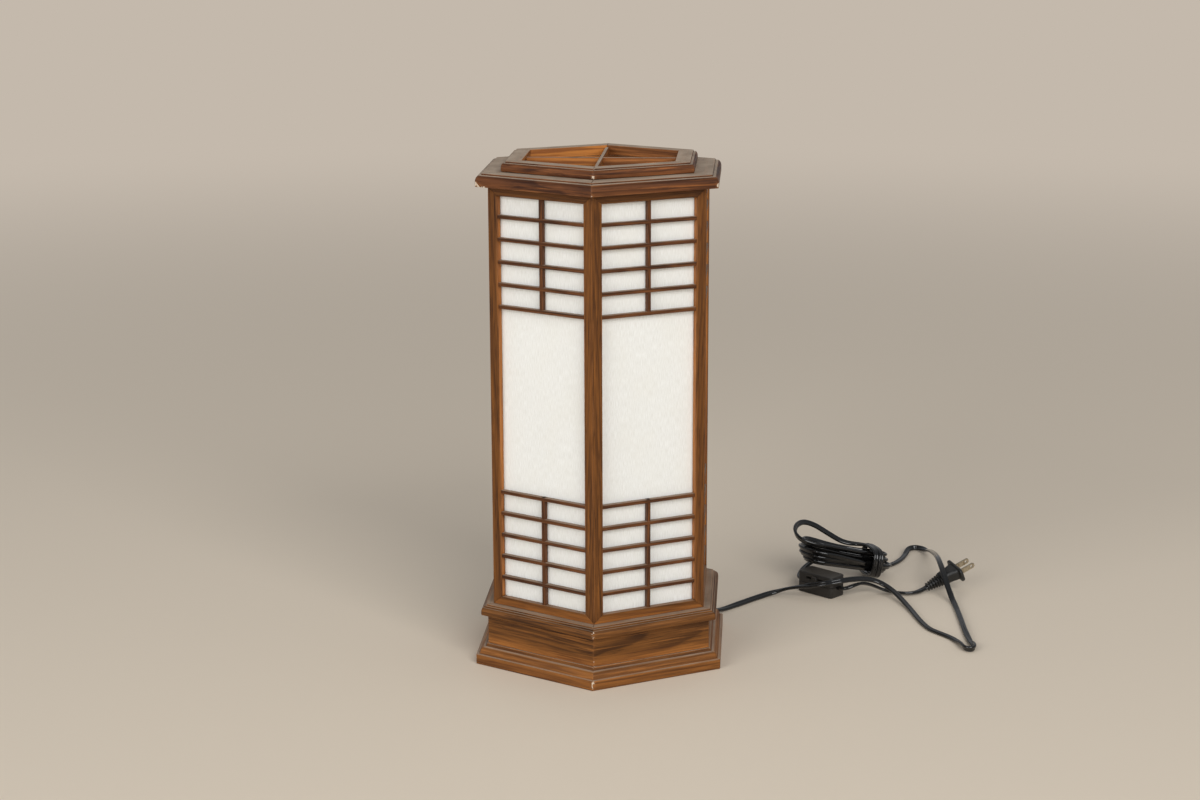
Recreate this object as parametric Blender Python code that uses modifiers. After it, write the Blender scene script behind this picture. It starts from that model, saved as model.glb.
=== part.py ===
"""Hexagonal paper table lamp: moulded wooden base, six latticed paper panels, vented roof, corded dimmer and plug."""
import math

import bmesh
import bpy
import numpy as np
from mathutils import Matrix, Vector

# Clearances, in metres as every size here
GAP = 0.0003
CORD_CLEARANCE = 0.0004
MM = 0.001

# Shade: six mitred frames around a hexagon
SIDES = 6
BODY_APOTHEM = 0.1065
SHADE_HEIGHT = 0.4255
STILE_WIDTH = 0.0102
RAIL_HEIGHT = 0.0086
FRAME_DEPTH = 0.011
RABBET_DEPTH = 0.0065
RABBET_LAP = 0.003
BAR_WIDTH = 0.0035
MUNTIN_WIDTH = 0.0036
BAR_RECESS = 0.0009
CELL_HEIGHT = 0.0188
LATTICE_ROWS = 5
PAPER_THICKNESS = 0.0005

# Base: foot moulding, plinth and base board, each set out from the shade
PLINTH_PROJECTION = 0.0057
PLINTH_HEIGHT = 0.030
PLINTH_WALL = 0.012
FOOT_PROJECTION = 0.0118
FOOT_FACE = 0.010
FOOT_HEIGHT = 0.020
FOOT_STEP = 0.0014
BASE_LEDGE = 0.007
BASE_STEP = 0.0014
BASE_ROUND = 0.0026
BASE_BOARD_THICKNESS = 0.011

# Roof: board, ring and two crossed slats
ROOF_LEDGE = 0.0057
ROOF_PROJECTION = 0.0117
ROOF_THICKNESS = 0.0126
ROOF_STEP = 0.0014
LIP_CLEARANCE = 0.001
LIP_WIDTH = 0.0045
LIP_DEPTH = 0.006
OPENING_APOTHEM = 0.0752
RING_WIDTH = 0.0149
RING_FLARE = 0.0043
RING_HEIGHT = 0.010
SLAT_THICKNESS = 0.0034
SLAT_DEPTH = 0.008
SLAT_DROP = 0.002

# Lampholder and screw bulb
NIPPLE_RADIUS = 0.0048
NIPPLE_BORE = 0.0031
NIPPLE_FLANGE = 0.009
NIPPLE_FLANGE_HEIGHT = 0.003
NIPPLE_TAIL = 0.007
HOLDER_RADIUS = 0.018
HOLDER_HEIGHT = 0.046
HOLDER_FLOOR = 0.013
CAP_RADIUS = 0.013
CAP_CLEARANCE = 0.0006
CAP_HEIGHT = 0.0265
CONTACT_RADIUS = 0.0045
CONTACT_HEIGHT = 0.0025
BULB_RADIUS = 0.030
BULB_HEIGHT = 0.080
GLASS_WALL = 0.0009

# Cord, bushing and mouse hole in the foot
CORD_DIAMETER = 0.005
BUSHING_WALL = 0.0018
BUSHING_FLANGE = 0.0022
BUSHING_FLANGE_LENGTH = 0.0025
BUSHING_BARREL = 0.014
BUSHING_HEIGHT = 0.0074
BUSHING_OFFSET = -0.048
BUSHING_SIDE = 2
CORD_STEP = 0.024
CORD_TURN = math.radians(28)

# In-line dimmer lying on the floor
DIMMER_CENTRE = (0.2318, 0.1811)
DIMMER_HEADING = math.radians(-40)
DIMMER_LENGTH = 0.048
DIMMER_WIDTH = 0.024
DIMMER_HEIGHT = 0.024
DIMMER_CORNER = 0.004
DIMMER_WALL = 0.002
DIMMER_CORD_HEIGHT = 0.011
SLIDER_LENGTH = 0.007
SLIDER_TRAVEL = 0.008
SLIDER_STEM = 0.0024
SLIDER_HEAD = 0.0056
SLIDER_PROUD = 0.0018
SLIDER_HEIGHT = 0.018

# Hank of cord, bound with its own cord, leaning on the dimmer
HANK_CENTRE = (0.2595, 0.230, 0.0275)
HANK_HEADING = math.radians(18)
HANK_SLOPE = math.radians(12.5)
HANK_ROLL = math.radians(-4)
HANK_HALF_LENGTH = 0.055
HANK_LEFT_RADIUS = 0.024
HANK_RIGHT_RADIUS = 0.0165
HANK_PITCH = 0.0083
HANK_LAYER = 0.0058
HANK_LAYERS = 4
HANK_RUN = 0.3
HANK_FIRST_TURN = 0.17
HANK_LAST_TURN = 5.2
HANK_POINTS = 24
FAN_TURNS = 1.5
FAN_FADE = 0.25
FAN_FROM = 0.024
FAN_LIFT = 0.018
FAN_REACH = 0.014
FAN_ROLL = 0.38
FIRST_FAN_REACH = 0.006
FIRST_FAN_ROLL = 0.26
FIRST_FAN_SLANT = 0.45
WAIST = 0.0024
WAIST_FROM = 0.010
WRAP_AT = 0.036
WRAP_PITCH = 0.0062
WRAP_CLEARANCE = 0.0022
WRAP_START = math.radians(-90)
WRAP_SWEEP = math.radians(540)

# Two-blade plug, held up off the floor by its stiff cord
PLUG_TAIL = (0.350, 0.1905, 0.0055)
PLUG_HEADING = math.radians(22)
PLUG_TILT = math.radians(24)
PLUG_ROLL = math.radians(8)
RELIEF_LENGTH = 0.019
RELIEF_THIN = 0.004
RELIEF_THICK = 0.0066
RELIEF_RIBS = 7
RIB_HEIGHT = 0.0011
GRIP_LENGTH = 0.0195
GRIP_WIDTH = 0.021
GRIP_THICKNESS = 0.014
FLANGE_LENGTH = 0.032
FLANGE_WIDTH = 0.017
FLANGE_THICKNESS = 0.003
BLADE_SPACING = 0.0127
BLADE_WIDTH = 0.0063
BLADE_THICKNESS = 0.0015
BLADE_LENGTH = 0.0175
BLADE_HOLE = 0.0016

# Heights and radii that follow from the sizes above
CORNER = 1 / math.cos(math.pi / SIDES)
SIDE_LENGTH = 2 * BODY_APOTHEM * math.tan(math.pi / SIDES)
PLINTH_APOTHEM = BODY_APOTHEM + PLINTH_PROJECTION
PLINTH_INNER = PLINTH_APOTHEM - PLINTH_WALL
FOOT_APOTHEM = PLINTH_APOTHEM + FOOT_PROJECTION
PLINTH_BOTTOM = FOOT_HEIGHT + GAP
BASE_BOTTOM = PLINTH_BOTTOM + PLINTH_HEIGHT
BASE_TOP = BASE_BOTTOM + GAP + BASE_BOARD_THICKNESS
SHADE_BOTTOM = BASE_TOP + GAP
SHADE_TOP = SHADE_BOTTOM + SHADE_HEIGHT
ROOF_BOTTOM = SHADE_TOP + GAP
ROOF_TOP = ROOF_BOTTOM + ROOF_THICKNESS
RING_BOTTOM = ROOF_TOP + GAP
RING_TOP = RING_BOTTOM + RING_HEIGHT
CORD_RADIUS = CORD_DIAMETER / 2
BUSHING_BORE = CORD_RADIUS + CORD_CLEARANCE
BUSHING_RADIUS = BUSHING_BORE + BUSHING_WALL
HOLDER_BOTTOM = BASE_TOP + GAP
HOLDER_SEAT = HOLDER_BOTTOM + HOLDER_FLOOR
CONTACT_BOTTOM = HOLDER_SEAT + GAP
HANK_LEFT = HANK_LEFT_RADIUS - HANK_HALF_LENGTH
HANK_RIGHT = HANK_HALF_LENGTH - HANK_RIGHT_RADIUS
WRAP_WIDTH = HANK_RIGHT_RADIUS + CORD_DIAMETER + WRAP_CLEARANCE
WRAP_HEIGHT = (HANK_LAYERS - 1) / 2 * HANK_LAYER + CORD_DIAMETER + WRAP_CLEARANCE
CAP_BOTTOM = CONTACT_BOTTOM + CONTACT_HEIGHT + GAP
GLASS_BOTTOM = CAP_BOTTOM + CAP_HEIGHT + GAP

SIDE_NAMES = ("front_right", "right", "back_right", "back_left", "left", "front_left")
POST_NAMES = ("front", "right_front", "right_back", "back", "left_back", "left_front")

# Route of the cord from the foot to the hank, in millimetres, lying on the floor, over the dimmer's lead and the plug
FLOOR_ROUTE = (
    (119.5, 103.5, 4.2), (142, 129.5, 3.1), (164, 155, 3.1), (180.5, 166, 5), (197, 164.3, 10), (208, 159.2, 13.3),
    (219, 155.6, 16.2), (230, 152.5, 18.8), (243, 151.4, 21.4), (254, 154.5, 22.8), (264, 160.4, 22.6),
    (275.5, 168.2, 21), (286.7, 173.8, 18.5), (297, 174.8, 15), (307.6, 168, 10.4), (317.7, 151, 6.4), (327, 123, 3.8),
    (335.3, 85.7, 3.1), (343, 60.5, 3.1), (352, 47.5, 3.1), (362, 35, 3.1), (369.5, 21, 3.1), (373, 8, 3.1),
    (374.4, -2, 3.1), (376, -5.8, 3.1), (379.8, -7.4, 3.1), (383.6, -5.8, 3.1), (385.2, -2, 3.1), (384.8, 8, 3.1),
    (382.6, 24, 3.1), (380.4, 52, 3.1), (379, 94, 3.1), (377, 138, 3.1), (375, 154, 5.4), (372.2, 164.5, 11),
    (369, 176, 19.4), (366, 193.5, 27.6), (364.4, 219, 29.2), (363.8, 256, 23.6), (361.8, 298, 14.6),
    (359.4, 326, 6.8), (355.6, 341, 3.6), (347.5, 347.5, 3.1), (339.6, 342, 3.1), (335, 327, 3.1), (329.5, 309, 3.1),
    (322.5, 294, 3.1), (313.5, 281, 3.2), (303, 272, 3.8), (292.5, 265.5, 4.2), (285.6, 257, 4.4),
)
# From the hank's last run round and down to the far end of the dimmer
DIMMER_ROUTE = ((226, 239.6, 18.8), (217, 230.5, 16), (211.4, 219.5, 13.6), (208.6, 209.8, 11.6), (208, 204.4, 11))
# From the dimmer's near end under the first stretch to the plug
LEAD_ROUTE = (
    (259, 160.4, 12), (264, 161.4, 13.8), (269.5, 165.2, 15), (277, 172, 14.6), (286.5, 178.4, 11.2), (298, 181.6, 6),
    (310, 180, 3.4),
    (321, 176.8, 3), (331.5, 177.2, 3), (340, 181.8, 3.2),
)
# From the nipple down and across the base to the bushing, given as heights and shares of the way
INNER_LEAD_DROP = 0.012


def clear_scene():
    for item in list(bpy.data.objects):
        bpy.data.objects.remove(item, do_unlink=True)


def new_collection(name):
    collection = bpy.data.collections.new(name)
    bpy.context.scene.collection.children.link(collection)
    return collection


def principled(name, colour, roughness, metallic=0.0):
    material = bpy.data.materials.new(name)
    material.use_nodes = True
    shader = material.node_tree.nodes["Principled BSDF"]
    shader.inputs["Base Color"].default_value = (*colour, 1.0)
    shader.inputs["Roughness"].default_value = roughness
    shader.inputs["Metallic"].default_value = metallic
    return material


clear_scene()
LAMP = new_collection("paper_table_lamp")
CUTTERS = new_collection("cutters")
WOOD = principled("stained_wood", (0.13, 0.052, 0.016), 0.45)
LATTICE_WOOD = principled("lattice_wood", (0.09, 0.032, 0.012), 0.5)
PAPER = principled("fibre_paper", (0.83, 0.81, 0.74), 0.9)
BLACK_VINYL = principled("black_vinyl", (0.012, 0.012, 0.012), 0.35)
BLACK_PLASTIC = principled("black_plastic", (0.016, 0.016, 0.016), 0.5)
PHENOLIC = principled("holder_phenolic", (0.02, 0.016, 0.014), 0.4)
BRASS = principled("brass", (0.62, 0.45, 0.18), 0.35, 1.0)
NICKEL = principled("nickelled_brass", (0.55, 0.52, 0.45), 0.35, 1.0)
ALUMINIUM = principled("cap_aluminium", (0.7, 0.7, 0.7), 0.35, 1.0)
OPAL_GLASS = principled("opal_glass", (0.9, 0.9, 0.88), 0.25)


def add(name, data, material, matrix=None):
    """Put one finished mesh or curve in the lamp's collection as a named piece."""
    piece = bpy.data.objects.new(name, data)
    if not data.materials:
        data.materials.append(material)
    if matrix is not None:
        piece.matrix_world = matrix
    LAMP.objects.link(piece)
    return piece


def baked(source):
    """The evaluated mesh of an object, with its loose caps welded and its place applied; the object is removed."""
    bpy.context.view_layer.update()
    evaluated = source.evaluated_get(bpy.context.evaluated_depsgraph_get())
    mesh = bpy.data.meshes.new_from_object(evaluated)
    mesh.transform(source.matrix_world)
    shape = bmesh.new()
    shape.from_mesh(mesh)
    bmesh.ops.remove_doubles(shape, verts=shape.verts, dist=1e-6)
    bmesh.ops.recalc_face_normals(shape, faces=shape.faces)
    shape.to_mesh(mesh)
    shape.free()
    bpy.data.objects.remove(source, do_unlink=True)
    mesh.materials.clear()
    return mesh


def plate(outline, thickness, matrix):
    """A flat outline of given thickness, centred on the plane z = 0 and then placed."""
    curve = bpy.data.curves.new("outline", "CURVE")
    curve.dimensions = "2D"
    curve.fill_mode = "BOTH"
    curve.extrude = thickness / 2
    spline = curve.splines.new("POLY")
    spline.points.add(len(outline) - 1)
    for point, (x, y) in zip(spline.points, outline):
        point.co = (x, y, 0, 1)
    spline.use_cyclic_u = True
    source = bpy.data.objects.new("outline", curve)
    source.matrix_world = matrix
    CUTTERS.objects.link(source)
    return baked(source)


def turned(profile, steps, turn=0.0, smooth=True):
    """A closed profile of (radius, height) points swept round the vertical axis."""
    mesh = bpy.data.meshes.new("profile")
    points = [(radius, 0, height) for radius, height in profile]
    count = len(points)
    mesh.from_pydata(points, [(i, (i + 1) % count) for i in range(count)], [])
    source = bpy.data.objects.new("profile", mesh)
    screw = source.modifiers.new("sweep", "SCREW")
    screw.angle = 2 * math.pi
    screw.steps = steps
    screw.render_steps = steps
    screw.use_merge_vertices = True
    screw.merge_threshold = 1e-6
    source.rotation_euler = (0, 0, turn)
    CUTTERS.objects.link(source)
    result = baked(source)
    if smooth:
        result.shade_smooth()
        result.set_sharp_from_angle(angle=math.radians(35))
    return result


def hexagonal(profile):
    """A mitred hexagonal moulding whose profile is given by distance from the axis to the flat, and height."""
    corners = [(apothem * CORNER, height) for apothem, height in profile]
    return turned(corners, SIDES, math.radians(30), smooth=False)


def arc(centre, size, start, end, steps):
    """Points of an elliptical arc, angles in degrees."""
    angles = [math.radians(start + (end - start) * i / steps) for i in range(steps + 1)]
    return [(centre[0] + size[0] * math.cos(a), centre[1] + size[1] * math.sin(a)) for a in angles]


def cut(target, cutter_mesh, operation="DIFFERENCE"):
    """Cut one mesh by another, or join them, and give back the result."""
    body = bpy.data.objects.new("body", target)
    tool = bpy.data.objects.new("tool", cutter_mesh)
    tool.hide_render = True
    tool.display_type = "WIRE"
    CUTTERS.objects.link(body)
    CUTTERS.objects.link(tool)
    boolean = body.modifiers.new("cut", "BOOLEAN")
    boolean.operation = operation
    boolean.object = tool
    result = baked(body)
    bpy.data.objects.remove(tool, do_unlink=True)
    return result


def trim(mesh, planes):
    """Saw a mesh off at planes of (point, outward normal), closing each cut."""
    shape = bmesh.new()
    shape.from_mesh(mesh)
    for point, normal in planes:
        everything = shape.verts[:] + shape.edges[:] + shape.faces[:]
        made = bmesh.ops.bisect_plane(
            shape, geom=everything, plane_co=point, plane_no=normal, dist=1e-7, clear_outer=True
        )
        rim = [item for item in made["geom_cut"] if isinstance(item, bmesh.types.BMEdge)]
        bmesh.ops.edgeloop_fill(shape, edges=rim)
    bmesh.ops.recalc_face_normals(shape, faces=shape.faces)
    shape.to_mesh(mesh)
    shape.free()
    return mesh


def box(size, centre):
    """A closed box mesh."""
    mesh = bpy.data.meshes.new("box")
    shape = bmesh.new()
    bmesh.ops.create_cube(shape, size=1, matrix=Matrix.Translation(centre) @ Matrix.Diagonal((*size, 1)))
    shape.to_mesh(mesh)
    shape.free()
    return mesh


def rounded_rectangle(length, width, radius, steps=4):
    outline = []
    for sign_x, sign_y, start in ((1, 1, 0), (-1, 1, 90), (-1, -1, 180), (1, -1, 270)):
        centre = (sign_x * (length / 2 - radius), sign_y * (width / 2 - radius))
        outline += arc(centre, (radius, radius), start, start + 90, steps)
    return outline


def side_turn(side):
    """Turn that carries the front pattern, facing -Y, to one of the six sides."""
    return Matrix.Rotation(math.radians(30 + 60 * side), 4, "Z")


def standing(y):
    """Stands an outline up in a plane facing -Y at the given depth."""
    return Matrix.Translation((0, y, 0)) @ Matrix.Rotation(math.radians(90), 4, "X")


# Foot moulding, plinth and base board
def foot_profile():
    ogee_top = FOOT_HEIGHT - 2 * FOOT_STEP
    ledge = FOOT_APOTHEM - FOOT_STEP
    shoulder = PLINTH_APOTHEM + 2 * FOOT_STEP
    drop = ogee_top - FOOT_FACE
    reach = ledge - shoulder
    hollow_size = (reach * 0.3, drop * 0.3)
    round_size = (reach - hollow_size[0], drop - hollow_size[1])
    profile = [(PLINTH_INNER, FOOT_HEIGHT), (PLINTH_APOTHEM + FOOT_STEP, FOOT_HEIGHT)]
    profile += [(PLINTH_APOTHEM + FOOT_STEP, FOOT_HEIGHT - FOOT_STEP)]
    profile += arc((shoulder, ogee_top - round_size[1]), round_size, 90, 0, 5)
    profile += arc((ledge, ogee_top - round_size[1]), hollow_size, 180, 270, 3)[1:]
    profile += [(FOOT_APOTHEM, FOOT_FACE), (FOOT_APOTHEM, 0), (PLINTH_INNER, 0)]
    return profile


def bushing_matrix(distance):
    """Frame at the bushing with Z pointing straight out of the foot, at a distance from the lamp's axis."""
    outward = math.radians(-60 + 60 * BUSHING_SIDE)
    sideways = Vector((-math.sin(outward), math.cos(outward), 0)) * BUSHING_OFFSET
    place = Vector((math.cos(outward), math.sin(outward), 0)) * distance + sideways
    place.z = BUSHING_HEIGHT
    turn = Matrix.Rotation(outward, 4, "Z") @ Matrix.Rotation(math.radians(90), 4, "Y")
    return Matrix.Translation(place) @ turn


def mouse_hole():
    """Arch through the foot, open at the bottom, that the bushing stands in."""
    radius = BUSHING_RADIUS + GAP
    below = BUSHING_HEIGHT + BUSHING_FLANGE
    outline = arc((0, 0), (radius, radius), -90, 90, 8)
    outline += [(-below, radius), (-below, -radius)]
    outline = [(-x, y) for x, y in outline]
    length = FOOT_APOTHEM - PLINTH_INNER + FOOT_FACE
    middle = (FOOT_APOTHEM + PLINTH_INNER) / 2
    return plate(outline, length, bushing_matrix(middle))


def build_base():
    foot = cut(hexagonal(foot_profile()), mouse_hole())
    add("foot_moulding", foot, WOOD)
    plinth_profile = [
        (PLINTH_INNER, BASE_BOTTOM), (PLINTH_APOTHEM, BASE_BOTTOM),
        (PLINTH_APOTHEM, PLINTH_BOTTOM), (PLINTH_INNER, PLINTH_BOTTOM),
    ]
    add("plinth", hexagonal(plinth_profile), WOOD)
    hole = NIPPLE_RADIUS + GAP
    top = BODY_APOTHEM + BASE_LEDGE
    bottom = BASE_BOTTOM + GAP
    shoulder = BASE_TOP - 2 * BASE_STEP
    widest = top + 2 * BASE_STEP + BASE_ROUND
    profile = [(hole, BASE_TOP), (top, BASE_TOP), (top, BASE_TOP - BASE_STEP), (top + BASE_STEP, BASE_TOP - BASE_STEP)]
    profile += [(top + 2 * BASE_STEP, shoulder)]
    belly = (shoulder - bottom) * 0.68
    profile += arc((widest - BASE_ROUND, shoulder - belly), (BASE_ROUND, belly), 90, 0, 5)[1:]
    profile += arc((widest - BASE_STEP, bottom + BASE_STEP), (BASE_STEP, BASE_STEP), 0, -90, 3)
    profile += [(hole, bottom)]
    add("base_board", hexagonal(profile), WOOD)


# Six mitred frames: corner posts, rails, lattices and papers
def mitre_plane(end, low, keep_stile):
    """Joint between a stile and a rail on the front pattern: end is -1 for the left stile, low is 1 at the bottom."""
    corner = Vector((end * SIDE_LENGTH / 2, 0, SHADE_BOTTOM if low > 0 else SHADE_TOP))
    along = Vector((-end * STILE_WIDTH, 0, low * RAIL_HEIGHT)).normalized()
    towards_rail = Vector((-end * RAIL_HEIGHT, 0, -low * STILE_WIDTH)).normalized()
    normal = towards_rail if keep_stile else -towards_rail
    return corner + along * GAP - normal * GAP / 2, normal


def corner_plane(end):
    """Joint between two neighbouring frames at one end of the front pattern."""
    angle = math.pi / SIDES
    normal = Vector((end * math.cos(angle), math.sin(angle), 0))
    return -normal * GAP / 2, normal


def post_mesh():
    """Two stiles glued along the corner that faces -Y, rabbeted for the papers and mitred at both ends."""
    along = Vector((math.cos(math.radians(30)), math.sin(math.radians(30))))
    inward = Vector((-math.sin(math.radians(30)), math.cos(math.radians(30))))
    vertex = Vector((0, -BODY_APOTHEM * CORNER))
    inner_start = FRAME_DEPTH * math.tan(math.radians(30))
    steps = [
        (0, 0), (STILE_WIDTH, 0), (STILE_WIDTH, RABBET_DEPTH), (STILE_WIDTH - RABBET_LAP, RABBET_DEPTH),
        (STILE_WIDTH - RABBET_LAP, FRAME_DEPTH), (inner_start, FRAME_DEPTH),
    ]
    half = [vertex + along * s + inward * d for s, d in steps]
    outline = [tuple(point) for point in half] + [(-point.x, point.y) for point in half[-2:0:-1]]
    middle = (SHADE_BOTTOM + SHADE_TOP) / 2
    mesh = plate(outline, SHADE_HEIGHT, Matrix.Translation((0, 0, middle)))
    planes = []
    for end, turn in ((-1, 30), (1, -30)):
        for low in (1, -1):
            point, normal = mitre_plane(end, low, True)
            spin = Matrix.Rotation(math.radians(turn), 3, "Z")
            planes.append((spin @ point, spin @ normal))
    return trim(mesh, planes)


def rail_mesh(low):
    """Rail of the front pattern, rabbeted for the paper; low is 1 for the bottom rail and -1 for the top rail."""
    start = SHADE_BOTTOM if low > 0 else SHADE_TOP
    front = -BODY_APOTHEM
    steps = [
        (0, 0), (RABBET_DEPTH, 0), (FRAME_DEPTH, 0), (FRAME_DEPTH, RAIL_HEIGHT - RABBET_LAP),
        (RABBET_DEPTH, RAIL_HEIGHT - RABBET_LAP), (RABBET_DEPTH, RAIL_HEIGHT), (0, RAIL_HEIGHT),
    ]
    outline = [(front + depth, start + low * rise) for depth, rise in steps]
    lengthwise = Matrix(((0, 0, 1, 0), (1, 0, 0, 0), (0, 1, 0, 0), (0, 0, 0, 1)))
    mesh = plate(outline, SIDE_LENGTH, lengthwise)
    planes = []
    for end in (-1, 1):
        planes.append(mitre_plane(end, low, False))
        planes.append(corner_plane(end))
    return trim(mesh, planes)


def lattice_mesh(low):
    """Five bars half lapped over one muntin, reaching from the rail; low is 1 for the lower lattice."""
    start = SHADE_BOTTOM + RAIL_HEIGHT if low > 0 else SHADE_TOP - RAIL_HEIGHT
    reach = SIDE_LENGTH / 2 - STILE_WIDTH - GAP
    pitch = CELL_HEIGHT + BAR_WIDTH
    half = MUNTIN_WIDTH / 2
    right_side = [(half, start + low * GAP)]
    for row in range(LATTICE_ROWS):
        near = start + low * (row * pitch + CELL_HEIGHT)
        far = near + low * BAR_WIDTH
        right_side += [(half, near), (reach, near), (reach, far)]
        if row < LATTICE_ROWS - 1:
            right_side.append((half, far))
    outline = right_side + [(-x, z) for x, z in reversed(right_side)]
    thickness = RABBET_DEPTH - BAR_RECESS
    return plate(outline, thickness, standing(-BODY_APOTHEM + BAR_RECESS + thickness / 2))


def paper_mesh():
    """One sheet in the rabbet behind a frame."""
    width = SIDE_LENGTH - 2 * (STILE_WIDTH - RABBET_LAP + GAP)
    height = SHADE_HEIGHT - 2 * (RAIL_HEIGHT - RABBET_LAP + GAP)
    depth = RABBET_DEPTH + GAP + PAPER_THICKNESS / 2
    return box((width, PAPER_THICKNESS, height), (0, -BODY_APOTHEM + depth, (SHADE_BOTTOM + SHADE_TOP) / 2))


def build_shade():
    post = post_mesh()
    for corner, name in enumerate(POST_NAMES):
        add("post_" + name, post, WOOD, Matrix.Rotation(math.radians(60 * corner), 4, "Z"))
    patterns = (
        ("bottom_rail_", rail_mesh(1), WOOD),
        ("top_rail_", rail_mesh(-1), WOOD),
        ("lower_lattice_", lattice_mesh(1), LATTICE_WOOD),
        ("upper_lattice_", lattice_mesh(-1), LATTICE_WOOD),
        ("paper_", paper_mesh(), PAPER),
    )
    for prefix, mesh, material in patterns:
        for side, name in enumerate(SIDE_NAMES):
            add(prefix + name, mesh, material, side_turn(side))


# Roof board with its locating lip, the ring on it and the crossed slats
def slat_mesh(reach, notch_up, along_y):
    """Slat on edge, halved at the middle where it crosses the other."""
    notch = SLAT_THICKNESS / 2 + GAP
    half = SLAT_DEPTH / 2
    stop = -GAP / 2
    outline = [
        (-reach, -half), (reach, -half), (reach, half), (notch, half),
        (notch, stop), (-notch, stop), (-notch, half), (-reach, half),
    ]
    if not notch_up:
        outline = [(x, -y) for x, y in outline]
    level = Matrix.Translation((0, 0, RING_TOP - SLAT_DROP - half))
    spin = Matrix.Rotation(math.radians(90 if along_y else 0), 4, "Z")
    return plate(outline, SLAT_THICKNESS, level @ spin @ standing(0))


def build_roof():
    edge = BODY_APOTHEM + ROOF_PROJECTION
    top = BODY_APOTHEM + ROOF_LEDGE
    lip_outer = BODY_APOTHEM - FRAME_DEPTH - LIP_CLEARANCE
    lip_inner = lip_outer - LIP_WIDTH
    lip_bottom = ROOF_BOTTOM - LIP_DEPTH
    shoulder = ROOF_TOP - ROOF_STEP
    belly = (shoulder - ROOF_BOTTOM) * 0.55
    profile = [(OPENING_APOTHEM, ROOF_TOP), (top, ROOF_TOP), (top, shoulder), (top + ROOF_STEP, shoulder)]
    profile += arc((top + ROOF_STEP, shoulder - belly), (edge - top - ROOF_STEP, belly), 90, 0, 5)[1:]
    profile += [(edge, ROOF_BOTTOM), (lip_outer, ROOF_BOTTOM), (lip_outer, lip_bottom), (lip_inner, lip_bottom)]
    profile += [(lip_inner, ROOF_BOTTOM), (OPENING_APOTHEM, ROOF_BOTTOM)]
    add("roof_board", hexagonal(profile), WOOD)
    ring_top = OPENING_APOTHEM + RING_WIDTH
    ring_edge = ring_top + RING_FLARE
    ring_shoulder = RING_TOP - ROOF_STEP
    swell = (ring_shoulder - RING_BOTTOM) * 0.6
    profile = [(OPENING_APOTHEM, RING_TOP), (ring_top, RING_TOP), (ring_top, ring_shoulder)]
    profile += [(ring_top + ROOF_STEP, ring_shoulder)]
    profile += arc((ring_top + ROOF_STEP, ring_shoulder - swell), (RING_FLARE - ROOF_STEP, swell), 90, 0, 4)[1:]
    profile += arc((ring_edge - ROOF_STEP, RING_BOTTOM + ROOF_STEP), (ROOF_STEP, ROOF_STEP), 0, -90, 2)
    profile += [(OPENING_APOTHEM, RING_BOTTOM)]
    add("top_ring", hexagonal(profile), WOOD)
    into_corner = SLAT_THICKNESS / 2 / math.tan(math.radians(60))
    add("vent_slat_long", slat_mesh(OPENING_APOTHEM * CORNER - into_corner - GAP, True, True), WOOD)
    add("vent_slat_cross", slat_mesh(OPENING_APOTHEM - GAP, False, False), WOOD)


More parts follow.
